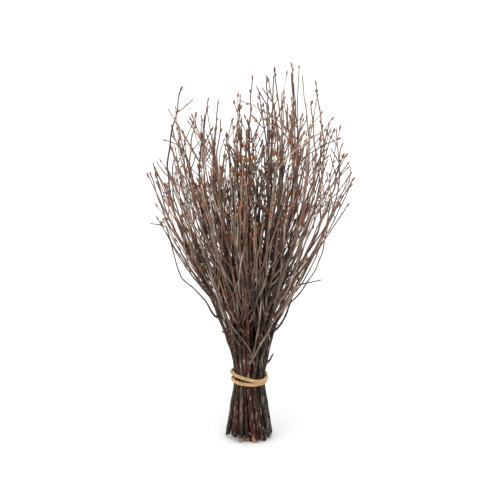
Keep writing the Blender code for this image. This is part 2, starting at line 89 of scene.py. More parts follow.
# Side shoots: heights of a stem's three or four forks, the angle a shoot leaves at, and its length as a
# share of the stem above the fork.
FIRST_FORK = 0.106
FORKED_LENGTH = 0.140
LEAVING_ANGLE = math.radians(30)
KNUCKLE = 0.0028
FIRST_STEP = 0.0055
SHOOT_SHARES = (0.74, 0.69, 0.64, 0.60)
OWN_RADIUS = 0.00080

# How far outside the stems' outline a side shoot may stand, by height. Low down it is hardly at all.
REACH_LEVELS = (0.100, 0.140, 0.170, 0.210, 0.254)
REACHES = (0.0012, 0.0020, 0.0050, 0.0110, 0.0180)

# Foot: the stems turn a little about the axis on their way down, and some cut ends stay off the floor.
FOOT_TWIST = math.radians(7)
FOOT_TWIST_CHANGE = math.radians(10)
MOST_RISE = 0.0065
print("twigs:", TWIG_COUNT, "height:", HEIGHT)

# %% [markdown]
# A few tables of values with straight lines between them are enough for the shape of the fan. One says how
# far the stems stand from the axis at each height, another how high the fan reaches above each place on the
# floor. A stem's thickness is a formula, because it thins evenly towards its tip.

# %% Outline of the fan


def between(x, xs, ys):
    """Straight-line reading of a table of values."""
    return float(np.interp(x, xs, ys))


def fan_radius(z):
    return between(z, LEVELS, FAN_RADII)


def side_reach(z):
    return between(z, REACH_LEVELS, REACHES)


def crown_height(x, y):
    """Height of the fan's upper surface over the floor point (x, y)."""
    top = between(x, [p[0] for p in CROWN_OUTLINE], [p[1] for p in CROWN_OUTLINE])
    fall = CROWN_FALL * min(abs(y) / CROWN_DEPTH, 1.0) ** 2
    return TIE_HEIGHT + (top - TIE_HEIGHT) * (1 - fall)


def stem_radius(thickness, z, tip_z):
    """A stem's radius at height z, thinning towards its tip."""
    up = min(max((z - TIE_HEIGHT) / (tip_z - TIE_HEIGHT), -0.2), 1.0)
    return TIP_RADIUS + (thickness - TIP_RADIUS) * (1 - up) ** 1.1


print("fan radius half way up in metres:", fan_radius(HEIGHT / 2))

# %% [markdown]
# At the tie the stems are packed side by side like round sticks in a ring. On paper that is a set of discs
# that push each other apart and are held in a circle. From there the pattern is carried down to the feet and
# up through the fan, level by level, while each stem wanders a little.

# %% Pack the stems
PUSH_SHARE = 0.35
TIE_ROUNDS = 800
FIRST_HEADING = math.radians(150)

# How much thicker the stems are taken in the foot and in the fan, and how far a stem drifts aside in the fan,
# as a share of its way up.
FOOT_ROOM = 1.03
FAN_ROOM = 1.1
DRIFT = 0.10


def keep_inside(spots, radii, most):
    """Brings discs back inside a circle of radius most."""
    far = np.hypot(spots[:, 0], spots[:, 1])
    share = np.minimum((most - radii) / np.maximum(far, 1e-9), 1.0)
    spots[:, :2] *= share[:, None]


def settle(places, radii, most=None, rounds=160):
    """Moves discs apart until each pair keeps GAP between them, inside a circle where one is given."""
    spots = np.array(places, dtype=float)
    radii = np.array(radii)
    need = radii[:, None] + radii[None, :] + GAP
    np.fill_diagonal(need, 0.0)
    for _ in range(rounds):
        apart = spots[:, None, :] - spots[None, :, :]
        far = np.sqrt((apart ** 2).sum(-1)) + 1e-9
        push = np.clip(need - far, 0.0, None) / far * PUSH_SHARE
        spots += (apart * push[:, :, None]).sum(1)
        spots[0] = 0.0
        if most is not None:
            keep_inside(spots, radii, most)
    return [tuple(s) for s in spots]


def lay_out_stems(dice):
    """The stems' thicknesses, and their floor-plan places at each of LEVELS."""
    thickness = [dice.uniform(STEM_RADIUS_THIN, STEM_RADIUS_THICK) for _ in range(TWIG_COUNT)]
    golden = math.pi * (3 - math.sqrt(5))
    start = []
    for i in range(TWIG_COUNT):
        r = NECK_RADIUS * math.sqrt(i / TWIG_COUNT)
        start.append((r * math.cos(i * golden), r * math.sin(i * golden)))
    places = {TIE_LEVEL: settle(start, thickness, NECK_OUTSIDE, rounds=TIE_ROUNDS)}
    for level in range(TIE_LEVEL - 1, -1, -1):
        grow = FAN_RADII[level] / FAN_RADII[level + 1]
        share = (LEVELS[level + 1] - LEVELS[level]) / TIE_HEIGHT
        moved = []
        for x, y in places[level + 1]:
            turn = FOOT_TWIST + FOOT_TWIST_CHANGE * math.sin(math.atan2(y, x) + FIRST_HEADING)
            c, s = math.cos(turn * share), math.sin(turn * share)
            moved.append((grow * (c * x - s * y), grow * (s * x + c * y)))
        places[level] = settle(moved, [t * FOOT_ROOM for t in thickness])
    wander = [(dice.uniform(0, math.tau), dice.uniform(-0.9, 0.9), dice.uniform(0.2, 1.0))
              for _ in range(TWIG_COUNT)]
    for level in range(TIE_LEVEL + 1, len(LEVELS)):
        z = LEVELS[level]
        grow = FAN_RADII[level] / FAN_RADII[level - 1]
        step = z - LEVELS[level - 1]
        moved = []
        for (x, y), (phase, pace, reach) in zip(places[level - 1], wander):
            heading = phase + pace * level
            drift = DRIFT * reach * step
            moved.append((grow * x + drift * math.cos(heading), grow * y + drift * math.sin(heading)))
        places[level] = settle(moved, [stem_radius(t, z, HEIGHT) * FAN_ROOM for t in thickness])
    return thickness, places


def path_point(path, z):
    """The place on a stem's layout path at height z."""
    return np.array([between(z, LEVELS, path[:, 0]), between(z, LEVELS, path[:, 1]), z])


def unit(v):
    return v / max(np.linalg.norm(v), 1e-12)


def ring_axes(direction, phase):
    """Two directions across a stem, the first turned to the stem's own phase."""
    across = np.array([math.cos(phase), math.sin(phase), 0.0])
    first = unit(across - across.dot(direction) * direction)
    return first, np.cross(direction, first)


two_sticks = settle([(0.0, 0.0), (0.001, 0.0)], [0.002, 0.002])
print("two sticks of 4 mm settle", round(1000 * two_sticks[1][0], 2), "mm apart")

# %% [markdown]
# A side shoot leaves its stem from one flat of the solid, at thirty degrees, and soon bends to run almost
# beside the stem. That is how birch grows, and it is why the bundle stays slim above the tie. A few shoots
# stand out so clearly on this bundle that each has a line of its own, given by a few points.

# %% Plan stems and side shoots
# A shoot's thickness: at its root and past its knuckle as shares of the stem's, then half way along as a
# share of its own.
ROOT_SHARE = 0.8
SHOOT_SHARE = 0.62
HALF_WAY_SHARE = 0.78

# The two pieces of a shoot past its knuckle: the share of its length, its lean off the stem in degrees, and
# the least share of its way out that is left when it is drawn in.
SHOOT_PIECES = ((0.42, 23), (0.58, 11))
LEAST_LEFT = (0.8, 0.6)


class Twig:
    """Centre lines of one twig: its stem, the heights of its forks, and the shoots that leave it."""

    def __init__(self, points, radii, phase, forks):
        self.points = points
        self.radii = radii
        self.phase = phase
        self.forks = forks
        self.shoots = []


def draw_in(start, end, least):
    """Draws the end of a shoot's piece in to keep it inside the fan, to the share least of its way out."""
    far = math.hypot(end[0], end[1])
    keep = 1.0
    for share in (0.3, 0.6, 1.0):
        spot = start + (end - start) * share
        most = max(fan_radius(spot[2]) + side_reach(spot[2]), math.hypot(start[0], start[1]) + 0.001)
        keep = min(keep, 1 - (math.hypot(spot[0], spot[1]) - most) / share / far)
    end[:2] *= max(keep, least)
    end[2] = min(end[2], crown_height(end[0], end[1]))


def plan_shoot(twig, stem_index, heading, length, dice, via=None):
    """Adds a shoot at a point of the stem, on the stem's flat that faces nearest to the heading."""
    here = twig.points[stem_index]
    along = unit(twig.points[stem_index + 1] - here)
    first, second = ring_axes(along, twig.phase)
    wish = np.array([math.cos(heading), math.sin(heading), 0.0])
    sides = []
    for k in range(STEM_SIDES):
        angle = math.tau * (k + 0.5) / STEM_SIDES
        sides.append(math.cos(angle) * first + math.sin(angle) * second)
    taken = [s["side"] for s in twig.shoots if s["at"] == stem_index]
    free = [k for k in range(STEM_SIDES) if k not in taken]
    side = max(free, key=lambda k: sides[k].dot(wish))
    out = sides[side]
    stem_r = twig.radii[stem_index]
    shoot_r = stem_r * SHOOT_SHARE
    start = here + along * KNUCKLE / 2 + out * stem_r * math.cos(math.pi / STEM_SIDES)
    leave = math.cos(LEAVING_ANGLE) * along + math.sin(LEAVING_ANGLE) * out
    line = [start, start + leave * FIRST_STEP]
    radii = [stem_r * ROOT_SHARE, shoot_r]
    if via is not None:
        line += [np.array(p) for p in via]
        radii += list(np.linspace(OWN_RADIUS, TIP_RADIUS, len(via)))
    else:
        turned = dice.uniform(-0.5, 0.5)
        around = math.cos(turned) * out + math.sin(turned) * np.cross(along, out)
        for part, angle in SHOOT_PIECES:
            lean = math.radians(angle) * dice.uniform(0.75, 1.35)
            step = unit(math.cos(lean) * along + math.sin(lean) * around)
            line.append(line[-1] + step * length * part)
        radii += [shoot_r * HALF_WAY_SHARE, TIP_RADIUS]
        draw_in(line[1], line[2], LEAST_LEFT[0])
        draw_in(line[2], line[3], LEAST_LEFT[1])
    twig.shoots.append({"at": stem_index, "side": side, "points": line, "radii": radii})


# Shoots that stand out on the real bundle and are given a line of their own, as points (x, y, height above
# the tie) after the knuckle. The first entry is the place on the stem that the shoot leaves.
LOOSE_LEFT = ((-0.031, -0.003, 0.066), (
    (-0.046, -0.014, 0.086), (-0.059, -0.018, 0.102), (-0.071, -0.018, 0.112), (-0.080, -0.018, 0.142),
    (-0.087, -0.018, 0.168), (-0.103, -0.018, 0.171)))
LOW_RIGHT = ((0.030, -0.004, 0.082), ((0.0465, -0.012, 0.1015), (0.076, -0.018, 0.1105)))
STUB_RIGHT = ((0.016, -0.004, 0.013), ((0.0255, -0.006, 0.0260),))
FRONT_LEFTWARD = ((0.004, -0.017, 0.016), ((-0.004, -0.0255, 0.036), (-0.020, -0.038, 0.068)))
FRONT_RIGHTWARD = ((0.001, -0.017, 0.018), ((0.011, -0.0265, 0.042), (0.029, -0.042, 0.077)))
OWN_SHOOTS = (LOOSE_LEFT, LOW_RIGHT, STUB_RIGHT, FRONT_LEFTWARD, FRONT_RIGHTWARD)

print("shoots of their own shape:", len(OWN_SHOOTS))

# %% [markdown]
# Now each twig is grown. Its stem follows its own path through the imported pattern, from the cut end to a tip
# under the fan's upper surface. A shoot leaves at each fork, turned on by the same angle every time, as the
# shoots on a real stem are. All random choices come from one seeded source in a fixed order, so the twigs
# are the same in every run, and the same as in the part's source.

# %% Grow the twigs
# Levels of the layout at which a stem's tip and its way outwards are read off.
TIP_LEVEL = 9
FAN_LEVEL = 6

# A stem's points are its foot, the one below the tie, the tie and then its forks.
FORKS_FROM = 3
SHORTEST_STEM = 0.255
FORK_SPACING = 0.026
SHOOT_TURN = math.radians(137.5)

# How far a tip may stay below the fan's upper surface, how far it may stand aside, and how much higher the
# first fork of the middle stem is than that of an outer one.
TIP_FALL = 0.20
TIP_ASIDE = 0.006
MIDDLE_FORK_RISE = 0.045

# Stems whose foot is left of this line have cut ends that stay off the floor, as have some others.
RAISED_SIDE = -0.62 * FOOT_RADIUS


def nearest_stems(wanted, distance):
    """Gives each wanted thing the stem nearest to it that is not given away yet."""
    given = {}
    for thing in wanted:
        gaps = [(9.0 if i in given else distance(thing, i), i) for i in range(TWIG_COUNT)]
        given[min(gaps)[1]] = thing
    return given


def plan_tip(i, path, tall, dice):
    """The height of a stem's tip. Every fourth one and the tall ones reach the fan's upper surface."""
    tip_z = crown_height(*path[TIP_LEVEL]) * (1 - TIP_FALL * dice.random() ** 1.8)
    if i % 4 == 0:
        tip_z = crown_height(*path[TIP_LEVEL])
    if i in tall:
        tip_z = crown_height(tall[i], 0.4 * path[TIP_LEVEL][1])
    return max(tip_z, SHORTEST_STEM)


def plan_forks(i, path, own, dice):
    """The heights of a stem's three or four forks. A shoot of its own shape sets the first of them."""
    rim = min(math.hypot(*path[TIE_LEVEL]) / NECK_RADIUS, 1.0)
    first = FIRST_FORK + MIDDLE_FORK_RISE * (1 - rim) + dice.uniform(-0.010, 0.014)
    fork_count = 4 if i % 2 == 0 else 3
    spacing = FORKED_LENGTH / fork_count
    forks = [first + spacing * (k + dice.uniform(-0.2, 0.2)) for k in range(fork_count)]
    if own is not None:
        forks[0] = TIE_HEIGHT + own[0][2]
        for k in range(1, fork_count):
            forks[k] = max(forks[k], forks[k - 1] + FORK_SPACING)
    return forks


def plan_shoots(twig, path, own, dice):
    """A shoot at each fork, turned on by the same angle every time."""
    away = math.atan2(path[FAN_LEVEL][1], path[FAN_LEVEL][0])
    turn = away + dice.choice((-1, 1)) * dice.uniform(0.8, 1.7)
    for k in range(len(twig.forks)):
        at = FORKS_FROM + k
        if own is not None and k == 0:
            via = [(x, y, TIE_HEIGHT + z) for x, y, z in own[1]]
            heading = math.atan2(via[0][1] - twig.points[at][1], via[0][0] - twig.points[at][0])
            plan_shoot(twig, at, heading, 0.0, dice, via)
            continue
        above = np.linalg.norm(twig.points[-1] - twig.points[at])
        length = above * SHOOT_SHARES[k] * dice.uniform(0.7, 1.2)
        plan_shoot(twig, at, turn + k * SHOOT_TURN, length, dice)


def grow_twigs():
    """The twigs laid out side by side, before they are moved clear of each other."""
    dice = random.Random(SEED)
    thickness, places = lay_out_stems(dice)
    layout = np.array([places[level] for level in range(len(LEVELS))])

    def from_root(own, i):
        (x, y, above), _ = own
        spot = path_point(layout[:, i], TIE_HEIGHT + above)
        return math.hypot(spot[0] - x, spot[1] - y)

    def from_tip(x, i):
        return math.hypot(layout[TIP_LEVEL, i, 0] - x, 0.25 * layout[TIP_LEVEL, i, 1])

    owners = nearest_stems(OWN_SHOOTS, from_root)
    tall = nearest_stems(TALL_TIPS, from_tip)
    twigs = []
    for i in range(TWIG_COUNT):
        path = layout[:, i]
        own = owners.get(i)
        tip_z = plan_tip(i, path, tall, dice)
        forks = plan_forks(i, path, own, dice)
        foot = 0.0
        if i % 5 in (2, 4) or path[0][0] < RAISED_SIDE:
            foot = MOST_RISE * dice.uniform(0.25, 1.0)
        heights = [foot, LEVELS[1], TIE_HEIGHT, *forks, (forks[-1] + tip_z) / 2, tip_z]
        points = [path_point(path, z) for z in heights]
        points[-1][:2] += [dice.uniform(-TIP_ASIDE, TIP_ASIDE), dice.uniform(-TIP_ASIDE, TIP_ASIDE)]
        radii = [stem_radius(thickness[i], z, tip_z) for z in heights]
        twigs.append(Twig(points, radii, dice.uniform(0, math.tau), forks))
        plan_shoots(twigs[-1], path, own, dice)
    tallest = max(twigs, key=lambda twig: twig.points[-1][2])
    tallest.points[-1][2] = HEIGHT
    return twigs


twigs = grow_twigs()
print("shoots:", sum(len(twig.shoots) for twig in twigs))

# %% [markdown]
# Laid out like this, many shoots would pass through each other. Real ones lean on each other instead. So
# every two pieces that are too near are pushed apart by a small step, again and again, until none touch.

# %% Find which pieces are too near


def nearest_points(p1, q1, p2, q2):
    """Where pairs of straight pieces come closest, as shares along each of them."""
    d1, d2, r = q1 - p1, q2 - p2, p1 - p2
    a = (d1 * d1).sum(1) + 1e-18
    e = (d2 * d2).sum(1) + 1e-18
    f = (d2 * r).sum(1)
    c = (d1 * r).sum(1)
    b = (d1 * d2).sum(1)
    denominator = a * e - b * b
    s = np.where(denominator > 1e-18, np.clip((b * f - c * e) / np.maximum(denominator, 1e-18), 0, 1), 0.5)
    t = np.clip((b * s + f) / e, 0, 1)
    s = np.clip((b * t - c) / a, 0, 1)
    return s, t


class Tangle:
    """All centre lines as points and straight pieces, ready to be moved clear of each other."""

    def __init__(self, twigs):
        points, radii, body, start, end, twig_of, order = [], [], [], [], [], [], []
        self.where = []
        for number, twig in enumerate(twigs):
            base = len(points)
            count = len(twig.points)
            points += twig.points
            radii += twig.radii
            body += range(base, base + count)
            for k in range(count - 1):
                start.append(base + k)
                end.append(base + k + 1)
                twig_of.append(number)
                order.append(("stem", k))
            for m, shoot in enumerate(twig.shoots):
                root = len(points)
                points += shoot["points"]
                radii += shoot["radii"]
                fork = base + shoot["at"]
                body += [fork, fork] + list(range(root + 2, root + len(shoot["points"])))
                for k in range(len(shoot["points"]) - 1):
                    start.append(root + k)
                    end.append(root + k + 1)
                    twig_of.append(number)
                    order.append((m, k))
                shoot["first_point"] = root
            twig.first_point = base
        self.p = np.array(points)
        self.r = np.array(radii)
        self.body = np.array(body)
        self.a = np.array(start)
        self.b = np.array(end)
        self.twig = np.array(twig_of)
        self.order = order
        self.pairs = self.choose_pairs(twigs)
        fixed = np.zeros(len(points), bool)
        fixed[twigs[0].first_point:twigs[0].first_point + 3] = True
        self.fixed = fixed
        self.neck = [twig.first_point + 2 for twig in twigs]
        self.low = [twig.first_point + 1 for twig in twigs]

    def choose_pairs(self, twigs):
        """Every two pieces that may not touch: all but neighbours along one twig."""
        i, j = np.triu_indices(len(self.a), 1)
        keep = np.ones(len(i), bool)
        same = np.nonzero(self.twig[i] == self.twig[j])[0]
        for n in same:
            (kind_i, k_i), (kind_j, k_j) = self.order[i[n]], self.order[j[n]]
            twig = twigs[self.twig[i[n]]]
            if kind_i == kind_j:
                keep[n] = False
            elif kind_i == "stem":
                at = twig.shoots[kind_j]["at"]
                if k_j <= 1 and at - 1 <= k_i <= at:
                    keep[n] = False
            elif k_i == 0 or k_j == 0:
                keep[n] = False
        return i[keep], j[keep]

    def close_pairs(self, spare):
        """The pairs that are nearer than they should be, with their nearest places."""
        p, a, b = self.p, self.a, self.b
        rad = np.maximum(self.r[a], self.r[b])
        low = np.minimum(p[a], p[b]) - rad[:, None] - spare
        high = np.maximum(p[a], p[b]) + rad[:, None] + spare
        i, j = self.pairs
        near = np.ones(len(i), bool)
        for axis in (0, 1, 2):
            near[near] = ((low[i[near], axis] <= high[j[near], axis])
                          & (low[j[near], axis] <= high[i[near], axis]))
        i, j = i[near], j[near]
        s, t = nearest_points(p[a[i]], p[b[i]], p[a[j]], p[b[j]])
        on_i = p[a[i]] + (p[b[i]] - p[a[i]]) * s[:, None]
        on_j = p[a[j]] + (p[b[j]] - p[a[j]]) * t[:, None]
        r_i = self.r[a[i]] + (self.r[b[i]] - self.r[a[i]]) * s
        r_j = self.r[a[j]] + (self.r[b[j]] - self.r[a[j]]) * t
        apart = on_i - on_j
        far = np.sqrt((apart ** 2).sum(1)) + 1e-9
        short = r_i + r_j + spare - far
        return i, j, s, t, apart / far[:, None], short

    def clear(self, rounds, spare):
        """Pushes pieces that are too near apart, a little at a time, and holds the neck together."""
        for _ in range(rounds):
            for group, most in ((self.neck, NECK_OUTSIDE), (self.low, LOW_OUTSIDE)):
                spots = self.p[group]
                keep_inside(spots, self.r[group], most)
                self.p[group] = spots
            i, j, s, t, away, short = self.close_pairs(spare)
            bad = short > 0
            if not bad.any():
                break
            i, j, s, t, away, short = i[bad], j[bad], s[bad], t[bad], away[bad], short[bad]
            move = np.zeros_like(self.p)
            count = np.zeros(len(self.p))
            push = away * (short * 0.5)[:, None]
            for piece, share, sign in ((i, s, 1.0), (j, t, -1.0)):
                for end, weight in ((self.a, 1 - share), (self.b, share)):
                    scale = weight / np.maximum((1 - share) ** 2 + share ** 2, 0.5)
                    body = self.body[end[piece]]
                    np.add.at(move, body, sign * push * scale[:, None])
                    np.add.at(count, body, weight)
            move /= np.maximum(count, 1.0)[:, None] * 0.75 + 0.25
            move[self.fixed] = 0.0
            self.p += move[self.body] * np.array([1.0, 1.0, 0.25])
            feet = self.p[:, 2] < 0
            self.p[feet, 2] = 0


print("gap kept between two pieces in millimetres:", GAP * 1000)

# %% [markdown]
# Now the pushing is done, with a little more room than the gap between the solids, and the twigs take the
# moved points back. The same rule grew the solids, so each tip has to be where the solid's tip is.

# %% Push the twigs clear of each other
SPARE = 0.0001


def place_back(twigs, tangle):
    """Gives the moved points back to the twigs."""
    for twig in twigs:
        first = twig.first_point
        twig.points = list(tangle.p[first:first + len(twig.points)])
        for shoot in twig.shoots:
            root = shoot["first_point"]
            shoot["points"] = list(tangle.p[root:root + len(shoot["points"])])


tangle = Tangle(twigs)
tangle.clear(rounds=500, spare=GAP + SPARE)
place_back(twigs, tangle)
differences = []
for number, twig in enumerate(twigs):
    solid_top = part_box("twig_%02d" % (number + 1))[1][2]
    differences.append(abs(solid_top - max(p[2] for p in twig.points)))
print("tips differ from the solids by at most", round(max(differences) * 1000, 2), "mm")

# %% [markdown]
# The lines are now smoothed. A birch shoot bends a little at every bud, first one way and then the other,
# and swells there. A smooth curve is laid through the points of each line, and a small sideways step and a
# swelling are added at each node along it. Three thin rings in a row make the swelling, so the points are
# set closer than the nodes are.

# %% Smooth lines with nodes
NODE_SPACING = 0.0145
NODE_SWELL = 0.13
NODE_LENGTH = 0.0021
LAST_NODE_TO_TIP = 0.004


def smooth_line(points, radii, step, roundness=1.0):
    """A smooth curve through the points, read off every step metres, with its radii and its length so far."""
    points = np.array(points)
    chord = np.concatenate([[0.0], np.cumsum(np.linalg.norm(np.diff(points, axis=0), axis=1))])
    keep = np.concatenate([[True], np.diff(chord) > 1e-6])
    points, chord, radii = points[keep], chord[keep], np.array(radii)[keep]
    slopes = np.gradient(points, chord, axis=0)
    count = max(int(chord[-1] / step), 3)
    at = np.linspace(0.0, chord[-1], count + 1)
    k = np.clip(np.searchsorted(chord, at, side="right") - 1, 0, len(chord) - 2)
    span = (chord[k + 1] - chord[k])
    u = ((at - chord[k]) / span)[:, None]
    straight = (points[1:] - points[:-1])[k] / span[:, None]
    span = span[:, None]
    low_slope = roundness * slopes[k] + (1 - roundness) * straight
    high_slope = roundness * slopes[k + 1] + (1 - roundness) * straight
    line = ((2 * u ** 3 - 3 * u ** 2 + 1) * points[k] + (u ** 3 - 2 * u ** 2 + u) * span * low_slope
            + (3 * u ** 2 - 2 * u ** 3) * points[k + 1] + (u ** 3 - u ** 2) * span * high_slope)
    return line, np.interp(at, chord, radii), at


def add_nodes(line, radii, along, dice, sway, tip_sway=None):
    """Bends a line a little at its nodes and swells it there. Gives the nodes' places along it too."""
    tip_sway = sway if tip_sway is None else tip_sway
    spots = []
    at = along[0] + NODE_SPACING * dice.uniform(0.5, 1.2)
    while at < along[-1] - LAST_NODE_TO_TIP:
        spots.append(at)
        at += NODE_SPACING * dice.uniform(0.7, 1.35)
    if not spots:
        return line, radii, spots
    tangent = unit(line[-1] - line[0])
    side, _ = ring_axes(tangent, dice.uniform(0, math.tau))
    corners = [along[0]] + spots + [along[-1]]
    steps = [0.0]
    for n, spot in enumerate(spots):
        reach = between(spot, (along[0], along[-1]), (sway, tip_sway))
        steps.append(reach * (-1) ** n * dice.uniform(0.5, 1.0))
    steps.append(0.0)
    bend = np.interp(along, corners, steps)
    swell = np.ones(len(along))
    for spot in spots:
        swell += NODE_SWELL * np.exp(-((along - spot) / NODE_LENGTH) ** 2)
    return line + bend[:, None] * side, radii * swell, spots


first_stem, _, _ = smooth_line(twigs[0].points, twigs[0].radii, NODE_LENGTH)
print("points of the first stem before and after smoothing:", len(twigs[0].points), len(first_stem))

# %% [markdown]
# Each of the forty-six twigs gets its stem and its main shoots as smoothed lines. A shoot starts inside
# the stem, so that its base grows out of the bark, and the stem swells a little at each fork. The shoots
# with a line of their own sway less, so that they keep their shape, and have a bark tone of their own.

# %% Lines of stems and main shoots
STEM_STEP = 0.0045
SHOOT_STEP = 0.0035

# How far a line steps aside at its nodes, at its foot and at its tip.
STEM_SWAY = (0.00030, 0.00120)
SHOOT_SWAY = (0.00045, 0.00100)
OWN_SWAY = (0.0002, 0.0003)

# A stem's collar at a fork: how much it swells and over what length. A shoot's foot is wider by FOOT_FLARE.
COLLAR_SWELL = 0.12
COLLAR_LENGTH = 0.004
FOOT_FLARE = 1.35

# Of the shoots of their own shape, those that end in front of FRONT_LINE cross the neck and are paler.
FRONT_LINE = -0.028
DARK_TONE = 0.32
PALE_TONE = 0.56


class Line:
    """One smooth line of a twig, with what is needed to give it bark and buds."""

    def __init__(self, number, kind, points, radii, spots, along):
        self.number = number
        self.kind = kind
        self.points = points
        self.radii = radii
        self.spots = spots
        self.along = along
        self.tone = None
        self.bare = False


def dress_lines(number, twig, dice):
    """The stem's line and the main shoots' lines of one twig."""
    lines = []
    stem, radii, along = smooth_line(twig.points, twig.radii, STEM_STEP)
    stem, radii, spots = add_nodes(stem, radii, along, dice, *STEM_SWAY)
    for shoot in twig.shoots:
        fork = twig.points[shoot["at"]]
        near = np.exp(-(np.linalg.norm(stem - fork, axis=1) / COLLAR_LENGTH) ** 2)
        radii = radii * (1 + COLLAR_SWELL * near)
    lines.append(Line(number, "stem", stem, radii, spots, along))
    for shoot in twig.shoots:
        fork = twig.points[shoot["at"]]
        points = [fork + (shoot["points"][0] - fork) * 0.25] + list(shoot["points"][1:])
        widths = [shoot["radii"][1] * FOOT_FLARE] + list(shoot["radii"][1:])
        own = abs(shoot["radii"][2] - OWN_RADIUS) < 1e-6
        line, radii, along = smooth_line(points, widths, SHOOT_STEP, 0.35 if own else 0.85)
        line, radii, spots = add_nodes(line, radii, along, dice, *(OWN_SWAY if own else SHOOT_SWAY))
        made = Line(number, "shoot", line, radii, spots, along)
        if own:
            made.bare = points[-1][1] > FRONT_LINE
            made.tone = DARK_TONE if made.bare else PALE_TONE
        lines.append(made)
    return lines


line_dice = random.Random(101)
twig_lines = [dress_lines(n, twig, line_dice) for n, twig in enumerate(twigs)]
print("main lines:", sum(len(lines) for lines in twig_lines))

# %% [markdown]
# Between the main shoots the real bundle is full of finer twiglets, about a millimetre thick. They are too
# many and too thin for solids, so they are mesh only. A grid of small cells holds every point that is
# already taken. A twiglet is tried at a random place and heading, and is kept only where it stays clear of
# all other twigs. That way nothing is poked through anything else.

# %% Cells that remember what space is taken
CELL = 0.004
FINE_STEP = 0.0016


def cell_of(p):
    return int(p[0] // CELL), int(p[1] // CELL), int(p[2] // CELL)


def distance_squared(p, q):
    return (p[0] - q[0]) ** 2 + (p[1] - q[1]) ** 2 + (p[2] - q[2]) ** 2


class TakenSpace:
    """A grid of cells with the points of all lines in it."""

    def __init__(self):
        self.cells = {}

    def add(self, points, radii, owner):
        for p, r in zip(points, radii):
            self.cells.setdefault(cell_of(p), []).append((p[0], p[1], p[2], r, owner))

    def is_free(self, points, radii, owner, own_start, own_reach):
        """True where a line stays clear of all others, and of its own twig past its first stretch."""
        for p, r in zip(points, radii):
            near_root = distance_squared(p, own_start) < own_reach ** 2
            cx, cy, cz = cell_of(p)
            for ix in (cx - 1, cx, cx + 1):
                for iy in (cy - 1, cy, cy + 1):
                    for iz in (cz - 1, cz, cz + 1):
                        for x, y, z, other_r, other in self.cells.get((ix, iy, iz), ()):
                            if near_root and other == owner:
                                continue
                            if (p[0] - x) ** 2 + (p[1] - y) ** 2 + (p[2] - z) ** 2 < (r + other_r) ** 2:
                                return False
        return True


taken = TakenSpace()
for lines in twig_lines:
    for line in lines:
        fine, widths, _ = smooth_line(line.points, line.radii, FINE_STEP)
        taken.add(fine, widths, line.number)
print("cells in use:", len(taken.cells))

# %% [markdown]
# A twiglet leaves its shoot at 12 to 38 degrees, then turns up towards the light, and it is shorter near the
# crown. The fan's outline is its limit, because the dressed part may hardly be bigger than its solids.

# %% Try one twiglet
TWIGLET_STEP = 0.003
TWIGLET_TIP = 0.00040
TWIGLET_SWAY = 0.00032
TWIGLET_PIECE = 0.009
THICKEST_TWIGLET = 0.00095
THINNER = 0.78
LEAST_TAPER = 0.00012
CLEARANCE = 0.00012

# How strongly a twiglet turns up at each piece, and how strongly it keeps to its parent's heading.
UPWARD = 0.12
ONWARD = 0.05

# How far a twiglet may pass the fan's side and crown, and how far it stays under the tallest tip.
PAST_SIDE = 0.004
PAST_CROWN = 0.010
UNDER_TOP = 0.001

# Round its root, to this much outside the parent's bark, a twiglet may be near its own twig.
ROOT_REACH = 0.0035


def inside_fan(points):
    """True while a line stays in the fan: not far past its sides or its crown, and under its top."""
    for p in points:
        if math.hypot(p[0], p[1]) > fan_radius(p[2]) + side_reach(p[2]) + PAST_SIDE:
            return False
        if p[2] > min(crown_height(p[0], p[1]) + PAST_CROWN, HEIGHT - UNDER_TOP):
            return False
    return True


def try_twiglet(parent, share, length, lean, dice, rise=0.5, curve=0.07, tip=TWIGLET_TIP):
    """One twiglet from a place on a parent line, or nothing where there is no room for it."""
    k = int(share * (len(parent.points) - 2)) + 1
    start = parent.points[k]
    tangent = unit(parent.points[min(k + 1, len(parent.points) - 1)] - parent.points[k - 1])
    first, second = ring_axes(tangent, 0.0)
    heading = dice.uniform(0, math.tau)
    out = math.cos(heading) * first + math.sin(heading) * second
    way = unit(math.cos(lean) * tangent + math.sin(lean) * out)
    thick = max(min(parent.radii[k] * THINNER, THICKEST_TWIGLET), tip + LEAST_TAPER)
    points = [start]
    here = start + out * parent.radii[k] * 0.5
    pieces = max(int(length / TWIGLET_PIECE), 3)
    curl = np.array([dice.uniform(-1, 1), dice.uniform(-1, 1), 0.0]) * curve
    for _ in range(pieces):
        here = here + way * (length / pieces)
        points.append(here)
        way = unit(way + np.array([0.0, 0.0, rise * UPWARD]) + tangent * ONWARD + curl)
    widths = list(np.linspace(thick, tip, len(points)))
    line, radii, along = smooth_line(points, widths, TWIGLET_STEP)
    line, radii, spots = add_nodes(line, radii, along, dice, TWIGLET_SWAY)
    if not inside_fan(line):
        return None
    reach = parent.radii[k] + ROOT_REACH
    if not taken.is_free(line[1:], radii[1:] + CLEARANCE, parent.number, start, reach):
        return None
    fine, fine_radii, _ = smooth_line(line[1:], radii[1:], FINE_STEP)
    taken.add(fine, fine_radii, parent.number)
    return Line(parent.number, "twiglet", line, radii, spots, along)


print("a twiglet is at most", 2000 * THICKEST_TWIGLET, "mm thick at its foot")

# %% [markdown]
# Most twiglets grow on the main shoots, some on the stems and some on other twiglets. A table says how often
# a place is passed over at each height: rarely low down, where the bundle is full, and more often in the
# crown, where light comes through.

# %% Grow the twiglets
TWIGLETS_PER_TWIG = 7
TRIES_FOR_EACH = 5
TWIGLET_LENGTHS = (0.040, 0.095)
TWIGLET_LEANS = (12, 38)
ON_TWIGLET_SHARE = 0.6

